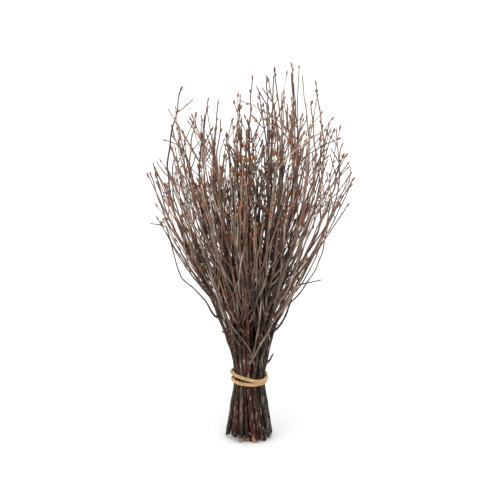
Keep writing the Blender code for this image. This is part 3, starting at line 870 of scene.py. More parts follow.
# The first and the last place for a twiglet on a stem and on a shoot, as shares of their length.
STEM_PLACES = (0.35, 0.93)
SHOOT_PLACES = (0.12, 0.93)
SKIP_LEVELS = (0.14, 0.18, 0.26, 0.285, 0.34)
SKIP_SHARES = (0.1, 0.78, 0.80, 0.62, 0.85)


def grow_twiglets(lines, wanted, dice):
    """Adds twiglets to one twig's lines, some of them on twiglets that are already there."""
    added = []
    for _ in range(wanted * TRIES_FOR_EACH):
        if len(added) >= wanted:
            break
        parents = [line for line in lines + added if len(line.points) > 6]
        parent = parents[int(dice.random() * len(parents))]
        share = dice.uniform(*(STEM_PLACES if parent.kind == "stem" else SHOOT_PLACES))
        z = parent.points[int(share * (len(parent.points) - 1))][2]
        if dice.random() < between(z, SKIP_LEVELS, SKIP_SHARES):
            continue
        length = dice.uniform(*TWIGLET_LENGTHS) * between(z, (0.30, 0.35), (1.0, 0.65))
        if parent.kind == "twiglet":
            length *= ON_TWIGLET_SHARE
        lean = math.radians(dice.uniform(*TWIGLET_LEANS))
        made = try_twiglet(parent, share, length, lean, dice)
        if made is not None:
            added.append(made)
    return added


twiglet_dice = random.Random(202)
twiglet_count = 0
for lines in twig_lines:
    fresh = grow_twiglets(lines, TWIGLETS_PER_TWIG, twiglet_dice)
    twiglet_count += len(fresh)
    lines += fresh
print("twiglets:", twiglet_count)

# %% [markdown]
# The lower half of the fan is so full that hardly any light comes through. More thin shoots are grown there,
# between the stems and the main shoots, running up almost side by side with them. The places they may start
# from are listed first, and those near the axis are listed twice, so that they are drawn more often.

# %% Fill the lower fan


def places_between(low, high, least, most=9.0):
    """Places on stems and main shoots between two heights, and between two shares of the fan's radius."""
    places = []
    for lines in twig_lines:
        for line in lines:
            if line.kind == "twiglet":
                continue
            for k in range(3, len(line.points) - 3):
                p = line.points[k]
                share = math.hypot(p[0], p[1]) / fan_radius(p[2])
                if low < p[2] < high and least <= share < most:
                    places.append((lines, line, k / (len(line.points) - 1)))
    return places


def grow_shoots(places, wanted, tries, lengths, leans, dice, keep=None, tones=None, **habit):
    """Tries thin shoots at random places until enough have found room. Says how many were grown."""
    grown = 0
    for _ in range(wanted * tries):
        if grown >= wanted:
            break
        lines, line, share = places[int(dice.random() * len(places))]
        length = dice.uniform(*lengths)
        lean = math.radians(dice.uniform(*leans))
        made = try_twiglet(line, share, length, lean, dice, **habit)
        if made is None or (keep is not None and not keep(made)):
            continue
        if tones is not None:
            made.tone = dice.choice(tones)
        lines.append(made)
        grown += 1
    return grown


places = places_between(0.085, 0.175, 0.0) + 2 * places_between(0.10, 0.20, 0.0, 0.5)
print("inner shoots:", grow_shoots(places, 200, 8, (0.05, 0.12), (9, 26), random.Random(252)))

# %% [markdown]
# A few long thin shoots at the edge of the crown do not stand up straight. They arch over to one side, so
# they turn down instead of up on their way, and one that stays narrow is not kept.

# %% Arching shoots at the crown


def arches_over(shoot):
    return abs(shoot.points[-1][0] - shoot.points[0][0]) > 0.018


places = places_between(0.25, 0.345, 0.35)
print("arching shoots:", grow_shoots(places, 16, 30, (0.045, 0.085), (22, 48), random.Random(808),
                                     keep=arches_over, rise=-0.3, curve=0.26))

# %% [markdown]
# Near its end a birch shoot often throws out one or two short side shoots, wide apart, each with a bud on it.

# %% Short forks near the tips
places = places_between(0.285, 0.385, 0.0)
print("forks near the tips:", grow_shoots(places, 60, 12, (0.009, 0.022), (28, 55), random.Random(909),
                                          rise=0.2, curve=0.12, tip=0.0005))

# %% [markdown]
# Just above the twine, thin pale shoots cross in front of the dark stems. They come only from the outer
# stems, and lean outwards or to one side. Most have grey bark, and a few have light brown bark.

# %% Thin pale shoots across the neck
PALE_TONES = (0.44, 0.50, 0.72, 0.76, 0.18)


def leans_outwards(shoot):
    return np.linalg.norm(shoot.points[-1][:2]) > np.linalg.norm(shoot.points[0][:2]) - 0.002


places = places_between(0.080, 0.122, 0.74) + places_between(0.122, 0.150, 0.74)[::3]
print("low shoots:", grow_shoots(places, 64, 30, (0.040, 0.095), (16, 38), random.Random(303),
                                 keep=leans_outwards, tones=PALE_TONES, rise=0.2, curve=0.04, tip=0.00060))

# %% [markdown]
# Old stems carry short dark stubs where side shoots were cut off. They stand out at the bundle's edge, in
# places where they touch no other stem, and there is none under the twine.

# %% Cut stubs on the stems
STUBS = 60
STUB_TRIES = 900
STUB_PLACES = (0.03, 0.45)
LOWEST_STUB = 0.008
TWINE_ROOM = 0.011
STUB_THICKNESS = (0.35, 0.55)
STUB_LENGTH = (0.0016, 0.0040)

# The points of a stub from its root to its cut, as shares of its length, and its widths there.
STUB_POINTS = (0.0, 0.35, 0.7, 1.0)
STUB_WIDTHS = np.array([1.5, 1.2, 1.0, 1.06])


def stub_has_room(stem, k, points, radii, thick):
    """True where the outer half of a stub on the stem's point k touches nothing but its own stem."""
    if taken.is_free(points[2:], radii[2:], -1, points[0], 0.0):
        return True
    outside = [p for p in points[2:] if np.linalg.norm(p - stem.points[k]) > stem.radii[k] + thick]
    return bool(outside) and taken.is_free(outside, radii[-len(outside):], stem.number, points[0], 0.02)


stub_dice = random.Random(404)
stub_count = 0
for _ in range(STUB_TRIES):
    if stub_count >= STUBS:
        break
    lines = twig_lines[int(stub_dice.random() * TWIG_COUNT)]
    stem = lines[0]
    k = int(stub_dice.uniform(*STUB_PLACES) * len(stem.points))
    z = stem.points[k][2]
    if abs(z - TIE_HEIGHT) < TWINE_ROOM or z < LOWEST_STUB:
        continue
    tangent = unit(stem.points[k + 1] - stem.points[k - 1])
    out, _ = ring_axes(tangent, stub_dice.uniform(0, math.tau))
    way = unit(tangent * 0.8 + out)
    thick = stem.radii[k] * stub_dice.uniform(*STUB_THICKNESS)
    length = stem.radii[k] + stub_dice.uniform(*STUB_LENGTH)
    points = [stem.points[k] + way * length * share for share in STUB_POINTS]
    radii = STUB_WIDTHS * thick
    if not stub_has_room(stem, k, points, radii, thick):
        continue
    taken.add(points[2:], radii[2:], stem.number)
    lines.append(Line(stem.number, "stub", np.array(points), radii, [], np.arange(4) * length / 3))
    stub_count += 1
print("stubs:", stub_count)

# %% [markdown]
# Bark covers a line as a tube. A curve object is the natural tool: each line becomes one spline of it, its
# points carry the radii, and the curve's round bevel makes the tube. The curve is then converted to a mesh.
# Thick stems get rings of twelve corners, shoots eight, twiglets six and the twine's fibres four.
# While the order of the rings is still known, three values are stored on the mesh for the bark material: how
# old the wood is by its thickness, raised low in the fan to paint shade there, the shade (a tone drawn at
# random) of this one shoot, and how deep inside the bundle a point is, which sets how much shade is painted on
# the bark there. In the crown all shoots are made a trace thicker.

# %% Tubes of bark
RING_BEVEL = {"stem": 4, "shoot": 2, "twiglet": 1, "stub": 1, "fibre": 0}
CROWN_EXTRA = 0.000055
CROWN_LEVELS = (0.22, 0.30)

# How much shade is painted on the bark inside the bundle, by height, and how old a thin shoot's bark is taken
# to be by height, which paints shade low in the fan.
PAINTED_SHADE_LEVELS = (0.06, 0.10, 0.15, 0.22, 0.34)
PAINTED_SHADE_STRENGTHS = (2.2, 1.3, 1.8, 0.9, 0.2)
OUTER_SHARE = 0.85
LOW_SHADE_LEVELS = (0.14, 0.25)
LOW_SHADE_AGES = (0.88, 0.0)


def painted_shade_depth(point):
    """How much shade is painted on the bark: 0 at the outside of the bundle and more towards its axis, most at
    the foot and least in the crown.
    """
    depth = 1 - math.hypot(point[0], point[1]) / (OUTER_SHARE * fan_radius(point[2]))
    return max(depth, 0.0) * between(point[2], PAINTED_SHADE_LEVELS, PAINTED_SHADE_STRENGTHS)


def wood_age(point, radius, pale):
    """0 for this year's thin bark, 1 for old bark. Low down, thin shoots other than pale ones get old bark's
    dark tones as painted shade.
    """
    by_thickness = (radius - 0.0004) / 0.0018
    painted_low_shade = 0.0 if pale else between(point[2], LOW_SHADE_LEVELS, LOW_SHADE_AGES)
    return min(max(by_thickness, painted_low_shade), 1.0)


def clear_selection():
    for thing in bpy.context.selected_objects:
        thing.select_set(False)


def store_values(mesh, **values):
    """Stores values on a mesh, one for each of its points, for a material to read."""
    for label, numbers in values.items():
        attribute = mesh.attributes.new(label, "FLOAT", "POINT")
        attribute.data.foreach_set("value", np.array(numbers, dtype=np.float32))


def skin_lines(name, lines, kind, dice):
    """One mesh object with a closed tube along each line of a kind, or nothing where there are none."""
    lines = [line for line in lines if line.kind == kind]
    if not lines:
        return None
    clear_selection()
    bpy.ops.curve.primitive_nurbs_path_add(location=(0, 0, 0))
    made = bpy.context.object
    made.name = name
    curve = made.data
    curve.splines.clear()
    curve.dimensions = "3D"
    curve.twist_mode = "MINIMUM"
    for line in lines:
        spline = curve.splines.new("POLY")
        count = len(line.points)
        spline.points.add(count - 1)
        spline.points.foreach_set("co", np.hstack([line.points, np.ones((count, 1))]).ravel())
        extra = np.interp(line.points[:, 2], CROWN_LEVELS, (0.0, CROWN_EXTRA))
        spline.points.foreach_set("radius", line.radii + extra)
    curve.bevel_mode = "ROUND"
    curve.bevel_depth = 1.0
    curve.bevel_resolution = RING_BEVEL[kind]
    bpy.ops.object.convert(target="MESH")
    made = bpy.context.object
    corners = len(made.data.vertices) // sum(len(line.points) for line in lines)
    age, shade, inner = [], [], []
    for line in lines:
        tone = dice.random() if line.tone is None else line.tone
        # The first value paints shade low in the fan by counting thin shoots there as old. The last is the
        # strength of the shade painted inside the bundle.
        for point, radius in zip(line.points, line.radii):
            age += [wood_age(point, radius, line.tone is not None)] * corners
            shade += [tone] * corners
            inner += [painted_shade_depth(point)] * corners
    store_values(made.data, age=age, shade=shade, inner=inner)
    bpy.ops.object.mode_set(mode="EDIT")
    bpy.ops.mesh.select_all(action="SELECT")
    bpy.ops.mesh.fill_holes(sides=0)
    bpy.ops.object.mode_set(mode="OBJECT")
    return made


tube_test = skin_lines("tube_test", twig_lines[0], "stem", random.Random(1))
print("a stem has", len(tube_test.data.vertices), "points in", len(twig_lines[0][0].points), "rings")
bpy.data.objects.remove(tube_test)

# %% [markdown]
# A birch bud is a pointed egg of overlapping scales, two to seven millimetres long. Three are modelled
# once: a slim one that lies along the shoot, a plump one for a tip, and one that is hooked, whose scales have
# begun to open. Each starts as a sphere and is stretched to a point. Pulling the rings in one by one, in
# edit mode, gives the steps where one scale ends over the next.

# %% Model the buds
BUD_SEGMENTS = 7
BUD_RINGS = 7

# Length, width, how wide each ring is from foot to tip, and how far the tip is hooked to one side.
BUD_SHAPES = {
    "slim": (0.0045, 0.0016, (0.55, 0.86, 1.00, 0.80, 0.66, 0.30), 0.0005),
    "plump": (0.0060, 0.0021, (0.50, 0.80, 1.00, 0.92, 0.66, 0.34), 0.0003),
    "scale": (0.0050, 0.0014, (0.60, 0.95, 1.00, 0.74, 0.52, 0.26), 0.0013),
}
LONGEST_BUD = 0.0060


def shape_bud(name, length, width, profile, hook):
    """A bud that stands on the origin and points along +Z. Its profile gives each ring's width."""
    clear_selection()
    bpy.ops.mesh.primitive_uv_sphere_add(segments=BUD_SEGMENTS, ring_count=BUD_RINGS, radius=0.5,
                                         location=(0, 0, 0.5))
    bud = bpy.context.object
    bud.name = name
    bpy.ops.object.transform_apply(location=True, rotation=False, scale=False)
    bpy.ops.object.mode_set(mode="EDIT")
    for ring_number, wide in enumerate(profile):
        up = math.pi * (ring_number + 1) / BUD_RINGS
        height = 0.5 - 0.5 * math.cos(up)
        bpy.ops.mesh.select_all(action="DESELECT")
        bpy.ops.object.mode_set(mode="OBJECT")
        for vertex in bud.data.vertices:
            vertex.select = abs(vertex.co.z - height) < 0.02
        bpy.ops.object.mode_set(mode="EDIT")
        bpy.ops.mesh.select_mode(type="VERT")
        now = 0.5 * math.sin(up)
        bpy.ops.transform.resize(value=(wide * 0.5 / now, wide * 0.5 / now, 1.0))
    bpy.ops.object.mode_set(mode="OBJECT")
    for vertex in bud.data.vertices:
        z = vertex.co.z
        vertex.co.x = vertex.co.x * width + hook * z * z
        vertex.co.y *= width
        vertex.co.z = z * length
    bpy.ops.object.shade_smooth()
    return bud


bud_kinds = {}
for kind, shape in BUD_SHAPES.items():
    bud = shape_bud(kind + "_bud", *shape)
    bud_points = np.array([v.co[:] for v in bud.data.vertices])
    bud_faces = [tuple(p.vertices) for p in bud.data.polygons]
    bud_kinds[kind] = (bud_points, bud_faces)
    bpy.data.objects.remove(bud)
print("bud faces:", {kind: len(faces) for kind, (_, faces) in bud_kinds.items()})

# %% [markdown]
# Buds sit at the nodes, on one side and then on the other, leaning out by about thirty degrees, and one
# ends almost every shoot, or two that open apart. Old wood has none. There are few low down, small and dark,
# and the crown of this bundle is full of them.

# %% Set the buds on a twig
THICKEST_WITH_BUDS = 0.00125
LOWEST_BUD = 0.09
BUD_LEVELS = (0.10, 0.24, 0.33)
BUD_CHANCES = (0.10, 0.26, 0.55)
RIPE_LEVELS = (0.16, 0.34)
RIPE_CHANCES = (0.06, 0.70)
CLUSTER_CHANCE = 0.22
PAIR_CHANCE = 0.42
BARE_TIP_CHANCE = 0.35


def place_bud(batch, kind, spot, direction, out, size, tone):
    """Adds one copy of a bud to a batch, its foot at spot, pointing along direction, hooked towards out."""
    points, faces = bud_kinds[kind]
    z = unit(direction)
    x = unit(out - out.dot(z) * z)
    y = np.cross(z, x)
    base = len(batch["points"])
    for p in points * size:
        batch["points"].append(tuple(spot + p[0] * x + p[1] * y + p[2] * z))
        batch["shade"].append(tone)
        batch["along"].append(p[2] / LONGEST_BUD)
    for face in faces:
        batch["faces"].append(tuple(base + v for v in face))
    batch["count"] += 1


def bud_line(batch, line, dice):
    """Buds at the nodes and the tip of one line."""
    if line.kind == "stub" or line.bare:
        return
    first, second = ring_axes(unit(line.points[-1] - line.points[0]), dice.uniform(0, math.tau))
    turn = 1.0
    for spot in line.spots:
        k = int(np.searchsorted(line.along, spot))
        k = min(max(k, 1), len(line.points) - 2)
        turn = -turn
        z = line.points[k][2]
        if line.radii[k] > THICKEST_WITH_BUDS or z < LOWEST_BUD:
            continue
        if dice.random() > between(z, BUD_LEVELS, BUD_CHANCES):
            continue
        tangent = unit(line.points[k + 1] - line.points[k - 1])
        out = unit(first * turn + second * dice.uniform(-0.6, 0.6))
        out = unit(out - out.dot(tangent) * tangent)
        lean = math.radians(dice.uniform(18, 42))
        way = math.cos(lean) * tangent + math.sin(lean) * out
        kind = "slim" if dice.random() < 0.7 else "scale"
        ripe = dice.random() < between(z, RIPE_LEVELS, RIPE_CHANCES)
        size = dice.uniform(0.80, 1.25) if ripe else dice.uniform(0.42, 0.65)
        tone = dice.uniform(0.3, 1.0) if ripe else dice.uniform(0.0, 0.3)
        foot = line.points[k] + out * line.radii[k] * 0.6
        place_bud(batch, kind, foot, way, -out, size, tone)
        if ripe and dice.random() < CLUSTER_CHANCE:
            for side in (1, -1):
                across = unit(way + np.cross(tangent, out) * side * 0.55)
                place_bud(batch, "scale", foot, across, -out, size * 0.9, tone)
    end = line.points[-1]
    tangent = unit(line.points[-1] - line.points[-2])
    out, _ = ring_axes(tangent, dice.uniform(0, math.tau))
    if line.kind == "stem" and dice.random() < BARE_TIP_CHANCE:
        return
    if dice.random() < PAIR_CHANCE:
        for side in (1, -1):
            way = unit(tangent + out * side * dice.uniform(0.25, 0.42))
            size, tone = dice.uniform(0.74, 1.26), dice.random() ** 1.15
            place_bud(batch, "scale", end - tangent * 0.0012, way, -out * side, size, tone)
    else:
        size, tone = dice.uniform(0.55, 1.14), dice.random() ** 1.15
        place_bud(batch, "plump", end - tangent * 0.0008, tangent, out, size, tone)


def bud_mesh(name, lines, dice):
    """One mesh object with all buds of a twig."""
    batch = {"points": [], "faces": [], "shade": [], "along": [], "count": 0}
    for line in lines:
        bud_line(batch, line, dice)
    mesh = bpy.data.meshes.new(name)
    mesh.from_pydata(batch["points"], [], batch["faces"])
    store_values(mesh, shade=batch["shade"], along=batch["along"])
    made = bpy.data.objects.new(name, mesh)
    bpy.context.scene.collection.objects.link(made)
    return made, batch["count"]


print("buds sit on shoots up to", 2000 * THICKEST_WITH_BUDS, "mm thick")

# %% [markdown]
# Now the finishes. Birch bark on shoots this thin is not white yet. It is dark red-brown to purple-brown, on
# some shoots grey, with pale grey streaks along it that are partly a dull bloom and partly a painted
# highlight, and small pale pores across it. A few small helpers keep the node trees readable. All noise is
# laid on Object coordinates, so it stays on the wood.

# %% Helpers for materials


def new_material(name):
    """A new material, with its node tree and its shader."""
    material = bpy.data.materials.new(name)
    material.use_nodes = True
    return material, material.node_tree, material.node_tree.nodes["Principled BSDF"]


def ramp_node(tree, source, stops):
    """A colour ramp fed by source, with stops as (place, (red, green, blue)) or (place, grey)."""
    node = tree.nodes.new("ShaderNodeValToRGB")
    ramp = node.color_ramp
    while len(ramp.elements) < len(stops):
        ramp.elements.new(0.5)
    for element, (place, colour) in zip(ramp.elements, stops):
        element.position = place
        element.color = (*colour, 1.0) if isinstance(colour, tuple) else (colour, colour, colour, 1.0)
    tree.links.new(source, node.inputs["Fac"])
    return node.outputs["Color"]


def mix_colours(tree, share, low, high, blend="MIX"):
    """Mixes two colours. Each input is a socket, or a plain value."""
    node = tree.nodes.new("ShaderNodeMix")
    node.data_type = "RGBA"
    node.blend_type = blend
    for socket, value in ((node.inputs[0], share), (node.inputs[6], low), (node.inputs[7], high)):
        if hasattr(value, "links"):
            tree.links.new(value, socket)
        elif isinstance(value, tuple):
            socket.default_value = (*value, 1.0)
        else:
            socket.default_value = value
    return node.outputs[2]


def grain(tree, scale, size, detail=3.0, roughness=0.55):
    """Noise on Object coordinates, stretched by scale, as a value socket."""
    place = tree.nodes.new("ShaderNodeTexCoord")
    mapping = tree.nodes.new("ShaderNodeMapping")
    mapping.inputs["Scale"].default_value = scale
    noise = tree.nodes.new("ShaderNodeTexNoise")
    noise.inputs["Scale"].default_value = size
    noise.inputs["Detail"].default_value = detail
    noise.inputs["Roughness"].default_value = roughness
    tree.links.new(place.outputs["Object"], mapping.inputs["Vector"])
    tree.links.new(mapping.outputs["Vector"], noise.inputs["Vector"])
    return noise.outputs["Fac"]


def stored(tree, label):
    """A value stored on the mesh."""
    node = tree.nodes.new("ShaderNodeAttribute")
    node.attribute_name = label
    return node.outputs["Fac"]


def set_surface(tree, shader, colour, roughness):
    """Puts a colour and a roughness on the shader. The roughness is a plain value or a socket."""
    tree.links.new(colour, shader.inputs["Base Color"])
    if hasattr(roughness, "links"):
        tree.links.new(roughness, shader.inputs["Roughness"])
    else:
        shader.inputs["Roughness"].default_value = roughness


def add_bump(tree, shader, height, strength, distance):
    """Relief from a value socket, distance metres high."""
    bump = tree.nodes.new("ShaderNodeBump")
    bump.inputs["Strength"].default_value = strength
    bump.inputs["Distance"].default_value = distance
    tree.links.new(height, bump.inputs["Height"])
    tree.links.new(bump.outputs["Normal"], shader.inputs["Normal"])


print("materials so far:", len(bpy.data.materials))

# %% [markdown]
# The bark's colour is read from the shade of each shoot, once for old wood and once for young, and the two
# are mixed by how old the wood is, where thin shoots low in the fan count as old to paint shade there. Pale
# streaks, partly bloom and partly painted highlight, run along the shoots, because the noise is stretched
# upwards. The pores are noise that is pressed flat instead. Darker and lighter patches lie over both, and
# bark deep inside the bundle is darkened as painted shade. Streaks and pores also give the relief, and the
# streaks are duller than clean bark.

# %% Bark material
OLD_TONES = (
    (0.00, (0.003, 0.002, 0.001)), (0.14, (0.078, 0.016, 0.013)), (0.26, (0.002, 0.001, 0.001)),
    (0.38, (0.105, 0.064, 0.043)), (0.46, (0.007, 0.004, 0.003)), (0.58, (0.003, 0.002, 0.001)),
    (0.68, (0.029, 0.024, 0.018)), (0.78, (0.058, 0.012, 0.011)), (0.88, (0.002, 0.001, 0.001)),
    (1.00, (0.150, 0.102, 0.072)),
)
YOUNG_TONES = (
    (0.00, (0.135, 0.058, 0.039)), (0.18, (0.300, 0.146, 0.096)), (0.34, (0.085, 0.054, 0.044)),
    (0.50, (0.460, 0.362, 0.290)), (0.64, (0.215, 0.113, 0.084)), (0.78, (0.560, 0.460, 0.385)),
    (0.90, (0.160, 0.115, 0.094)), (1.00, (0.340, 0.210, 0.150)),
)
bark, tree, shader = new_material("birch_bark")
old_colour = ramp_node(tree, stored(tree, "shade"), OLD_TONES)
young_colour = ramp_node(tree, stored(tree, "shade"), YOUNG_TONES)
# Low in the fan thin shoots take the old tones here, as painted shade.
colour = mix_colours(tree, stored(tree, "age"), young_colour, old_colour)
streaks = grain(tree, (1.0, 1.0, 0.10), 520.0, 4.0, 0.6)
# Pale grey streaks: partly a dull bloom, partly a painted highlight along the shoots.
bloom_and_highlight_share = ramp_node(tree, streaks, ((0.56, 0.0), (0.66, 0.66)))
colour = mix_colours(tree, bloom_and_highlight_share, colour, (0.440, 0.372, 0.312))
patches = grain(tree, (1.0, 1.0, 0.35), 70.0, 2.0)
patch_tone = ramp_node(tree, patches, ((0.36, (0.26, 0.25, 0.25)), (0.58, (1.15, 1.12, 1.10))))
colour = mix_colours(tree, 1.0, colour, patch_tone, "MULTIPLY")
pores = grain(tree, (1.0, 1.0, 2.6), 620.0, 1.0)
pore_share = ramp_node(tree, pores, ((0.66, 0.0), (0.71, 0.8)))
colour = mix_colours(tree, pore_share, colour, (0.240, 0.190, 0.145))
# Painted shade: bark deep inside the bundle is made darker, as if shaded by the twigs around it.
painted_shade_tone = ramp_node(tree, stored(tree, "inner"), ((0.0, 1.0), (0.75, (0.20, 0.17, 0.16))))
colour = mix_colours(tree, 1.0, colour, painted_shade_tone, "MULTIPLY")
set_surface(tree, shader, colour, ramp_node(tree, streaks, ((0.35, 0.42), (0.70, 0.72))))
shader.inputs["Specular IOR Level"].default_value = 0.13
relief = mix_colours(tree, 0.35, ramp_node(tree, streaks, ((0.3, 0.0), (0.7, 1.0))), pore_share)
add_bump(tree, shader, relief, 0.55, 0.00025)
print("bark nodes:", len(tree.nodes))

# %% [markdown]
# Buds are orange-brown, darker at the foot and at the tip of each scale, and a little glossy from resin.

# %% Bud material
bud_skin, tree, shader = new_material("bud_scales")
along_colour = ramp_node(tree, stored(tree, "along"), (
    (0.00, (0.080, 0.031, 0.016)), (0.30, (0.250, 0.092, 0.032)), (0.70, (0.350, 0.140, 0.048)),
    (1.00, (0.130, 0.050, 0.024))))
tone = ramp_node(tree, stored(tree, "shade"), (
    (0.0, (0.28, 0.28, 0.30)), (0.35, (0.75, 0.72, 0.70)), (0.75, (1.15, 1.10, 1.05)), (1.0, 1.5)))
colour = mix_colours(tree, 1.0, along_colour, tone, "MULTIPLY")
flecks = grain(tree, (1.0, 1.0, 0.6), 900.0, 2.0)
fleck_tone = ramp_node(tree, flecks, ((0.35, (0.70, 0.66, 0.62)), (0.65, 1.1)))
set_surface(tree, shader, mix_colours(tree, 1.0, colour, fleck_tone, "MULTIPLY"), 0.46)
add_bump(tree, shader, flecks, 0.4, 0.0002)
print("bud nodes:", len(tree.nodes))

# %% [markdown]
# Where a stem was cut, its wood shows: tan to orange-brown, with the fibres ending in fine dots, and stained
# darker in places.

# %% Cut wood material
cut_wood, tree, shader = new_material("cut_wood")
fibres = grain(tree, (1.0, 1.0, 1.0), 1500.0, 2.0)
stain = grain(tree, (1.0, 1.0, 1.0), 260.0, 2.0)
fibre_colour = ramp_node(tree, fibres, ((0.30, (0.200, 0.085, 0.032)), (0.70, (0.520, 0.300, 0.140))))
stain_tone = ramp_node(tree, stain, ((0.35, (0.45, 0.36, 0.30)), (0.62, 1.0)))
set_surface(tree, shader, mix_colours(tree, 1.0, fibre_colour, stain_tone, "MULTIPLY"), 0.85)
add_bump(tree, shader, fibres, 0.5, 0.0002)
print("wood nodes:", len(tree.nodes))

# %% [markdown]
# The stems were cut with shears, at a slant, so each foot is sliced off with a tilted plane and filled. The
# filled face is inset to leave a rim of bark, and the inside is given the wood finish. The middle stem is
# cut level, because it carries the mount. The stems in the middle of the front are cut so steeply that
# their wood shows from in front, as on the real bundle.

# %% Cut the feet
FRONT_SLANT = (56, 64)
COMMON_SLANT = (5, 22)
FRONT_DEPTH = 0.66 * FOOT_RADIUS
FRONT_HALF_WIDTH = 0.42 * FOOT_RADIUS
RIM_SHARE = 0.16
NEAR_PLANE = 2e-5
FACES_OUT = 0.99


def cut_foot(stem_object, line, foot, number, dice):
    """Slices the foot of a stem and finishes the cut."""
    centre = line.points[1]
    r = float(line.radii[1])
    front = centre[1] < -FRONT_DEPTH and abs(centre[0]) < FRONT_HALF_WIDTH
    low, high = FRONT_SLANT if front else COMMON_SLANT
    slant = 0.0 if number == 0 else math.radians(dice.uniform(low, high))
    heading = dice.uniform(-2.2, -0.9) if front else dice.uniform(0, math.tau)
    normal = Vector((math.sin(slant) * math.cos(heading), math.sin(slant) * math.sin(heading),
                     -math.cos(slant)))
    place = Vector((centre[0], centre[1], foot + r * math.tan(slant)))
    clear_selection()
    stem_object.select_set(True)
    bpy.context.view_layer.objects.active = stem_object
    bpy.ops.object.mode_set(mode="EDIT")
    bpy.ops.mesh.select_all(action="SELECT")
    bpy.ops.mesh.bisect(plane_co=place, plane_no=normal, use_fill=True, clear_outer=True, threshold=1e-6)
    bpy.ops.mesh.select_mode(type="FACE")
    bpy.ops.mesh.select_all(action="DESELECT")
    bpy.ops.object.mode_set(mode="OBJECT")
    for face in stem_object.data.polygons:
        near = abs((face.center - place).dot(normal)) < NEAR_PLANE
        face.select = near and face.normal.dot(normal) > FACES_OUT
    bpy.ops.object.mode_set(mode="EDIT")
    bpy.ops.mesh.inset(thickness=r * RIM_SHARE, use_boundary=True)
    stem_object.active_material_index = 2
    bpy.ops.object.material_slot_assign()
    bpy.ops.object.mode_set(mode="OBJECT")


# %% [markdown]
# Each twig is now put together: its stem is skinned and cut, then its shoots, twiglets and stubs are
# skinned, its buds are set, and all of it is joined in one object, because it is one grown piece. The object
# takes the place of its solid.

# %% Put the twigs together


def join_pieces(pieces, angle):
    """Joins pieces in the first one and shades it smooth, but for edges sharper than an angle."""
    clear_selection()
    for piece in pieces:
        piece.select_set(True)
    bpy.context.view_layer.objects.active = pieces[0]
    bpy.ops.object.join()
    bpy.ops.object.shade_smooth_by_angle(angle=math.radians(angle))


def assemble_twig(number, lines, foot, dice):
    """One finished twig in place of its solid."""
    name = "twig_%02d" % (number + 1)
    stem = skin_lines(name + "_bark", lines, "stem", dice)
    for material in (bark, bud_skin, cut_wood):
        stem.data.materials.append(material)
    cut_foot(stem, lines[0], foot, number, dice)
    pieces = [stem]
    for kind in ("shoot", "twiglet", "stub"):
        made = skin_lines(name + "_" + kind, lines, kind, dice)
        if made is not None:
            made.data.materials.append(bark)
            pieces.append(made)
    buds, count = bud_mesh(name + "_buds", lines, dice)
    buds.data.materials.append(bud_skin)
    pieces.append(buds)
    join_pieces(pieces, 50)
    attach(stem, "root")
    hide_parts(name)
    return stem, count


twig_dice = random.Random(505)
bud_total = 0
triangles = 0
for number, lines in enumerate(twig_lines):
    foot = float(twigs[number].points[0][2])
    made, count = assemble_twig(number, lines, foot, twig_dice)
    bud_total += count
    triangles += sum(len(face.vertices) - 2 for face in made.data.polygons)
print("buds:", bud_total, "triangles:", triangles)

# %% [markdown]
# The twine is jute. It goes round the stems twice, and its ends are wound about each other at the back. Its
# middle line is found in the same way as its solid's: a strand lies where it would if it were drawn tight
# round the stems, and is lifted off any stem that bulges between two points.

# %% Line of the twine
# Twine: half its thickness, half its height where it is pressed flat against the stems, and its heights above
# the middle of the tie in millimetres, by degrees round the bundle from the back (90) through the left (180),
# the front (270) and the right (360), twice. All of it is lowered by TWINE_SINK. TWINE_RIDES says how many
# millimetres it stands out where it comes from the knot, and where the second turn rides on the first.
TWINE_RADIUS = 0.00135
TWINE_HALF_HEIGHT = 0.00180
TWINE_HEIGHTS = (
    (118, 0.6), (135, 0.2), (153, 0.2), (171, 0.5), (189, 0.7), (207, 0.5), (225, 0.1), (243, -0.4),
    (261, -0.8), (279, -1.1), (297, -1.3), (315, -1.2), (333, -0.8), (351, -0.1), (369, 0.6), (387, 1.3),
    (405, 2.0), (423, 2.9), (441, 4.0), (459, 5.2), (477, 6.4), (495, 7.4), (513, 8.0), (531, 8.3),
    (549, 8.4), (567, 8.2), (585, 7.6), (603, 6.5), (621, 5.0), (639, 3.5), (657, 2.3), (675, 2.0),
    (693, 2.4), (711, 3.3), (729, 4.3), (747, 5.3))
TWINE_RIDES = {
    118: 2.6, 135: 0.6, 639: 0.3, 657: 0.9, 675: 1.2, 693: 1.2, 711: 1.0, 729: 0.5, 747: 0.4,
}
TWINE_SINK = 0.0040
KNOT_HEIGHT = 0.0006
KNOT_OUT = 0.0049
KNOT_LENGTH = 0.0105
KNOT_RADIUS = 0.00168
KNOT_POINTS = 8
TWINE_STEP = 0.0008

# A strand is kept this much off the stems beyond the gap, and the stems are taken a little thicker. Stems
# are felt for in DIRECTIONS round the bundle, of which those that face the strand's angle count.
TWINE_CLEARANCE = 0.00025
STEM_ALLOWANCE = 1.04
DIRECTIONS = 36
LEAST_FACING = 0.6
LIFT_ROUNDS = 12

# Where the last turn comes to the knot: its angle, how far out and how far above the knot.
ENTRY_ANGLE = math.radians(62)
ENTRY_OUT = 0.0034
ENTRY_RISE = 0.0024

# The twine's two ends, as (x, further out than the knot, above the knot).
FIRST_END = ((0.0150, 0.0030, -0.0105), (0.0105, 0.0022, -0.0062))
LAST_END = ((-0.0098, 0.0016, 0.0050), (-0.0135, 0.0018, 0.0090))


def stem_sections(twigs, z):
    """Where the stems stand at height z near the tie, and how thick they are there."""
    sections = []
    for twig in twigs:
        points = np.array(twig.points)
        spot = [between(z, points[:, 2], points[:, axis]) for axis in (0, 1)]
        sections.append((*spot, between(z, points[:, 2], twig.radii)))
    return np.array(sections)


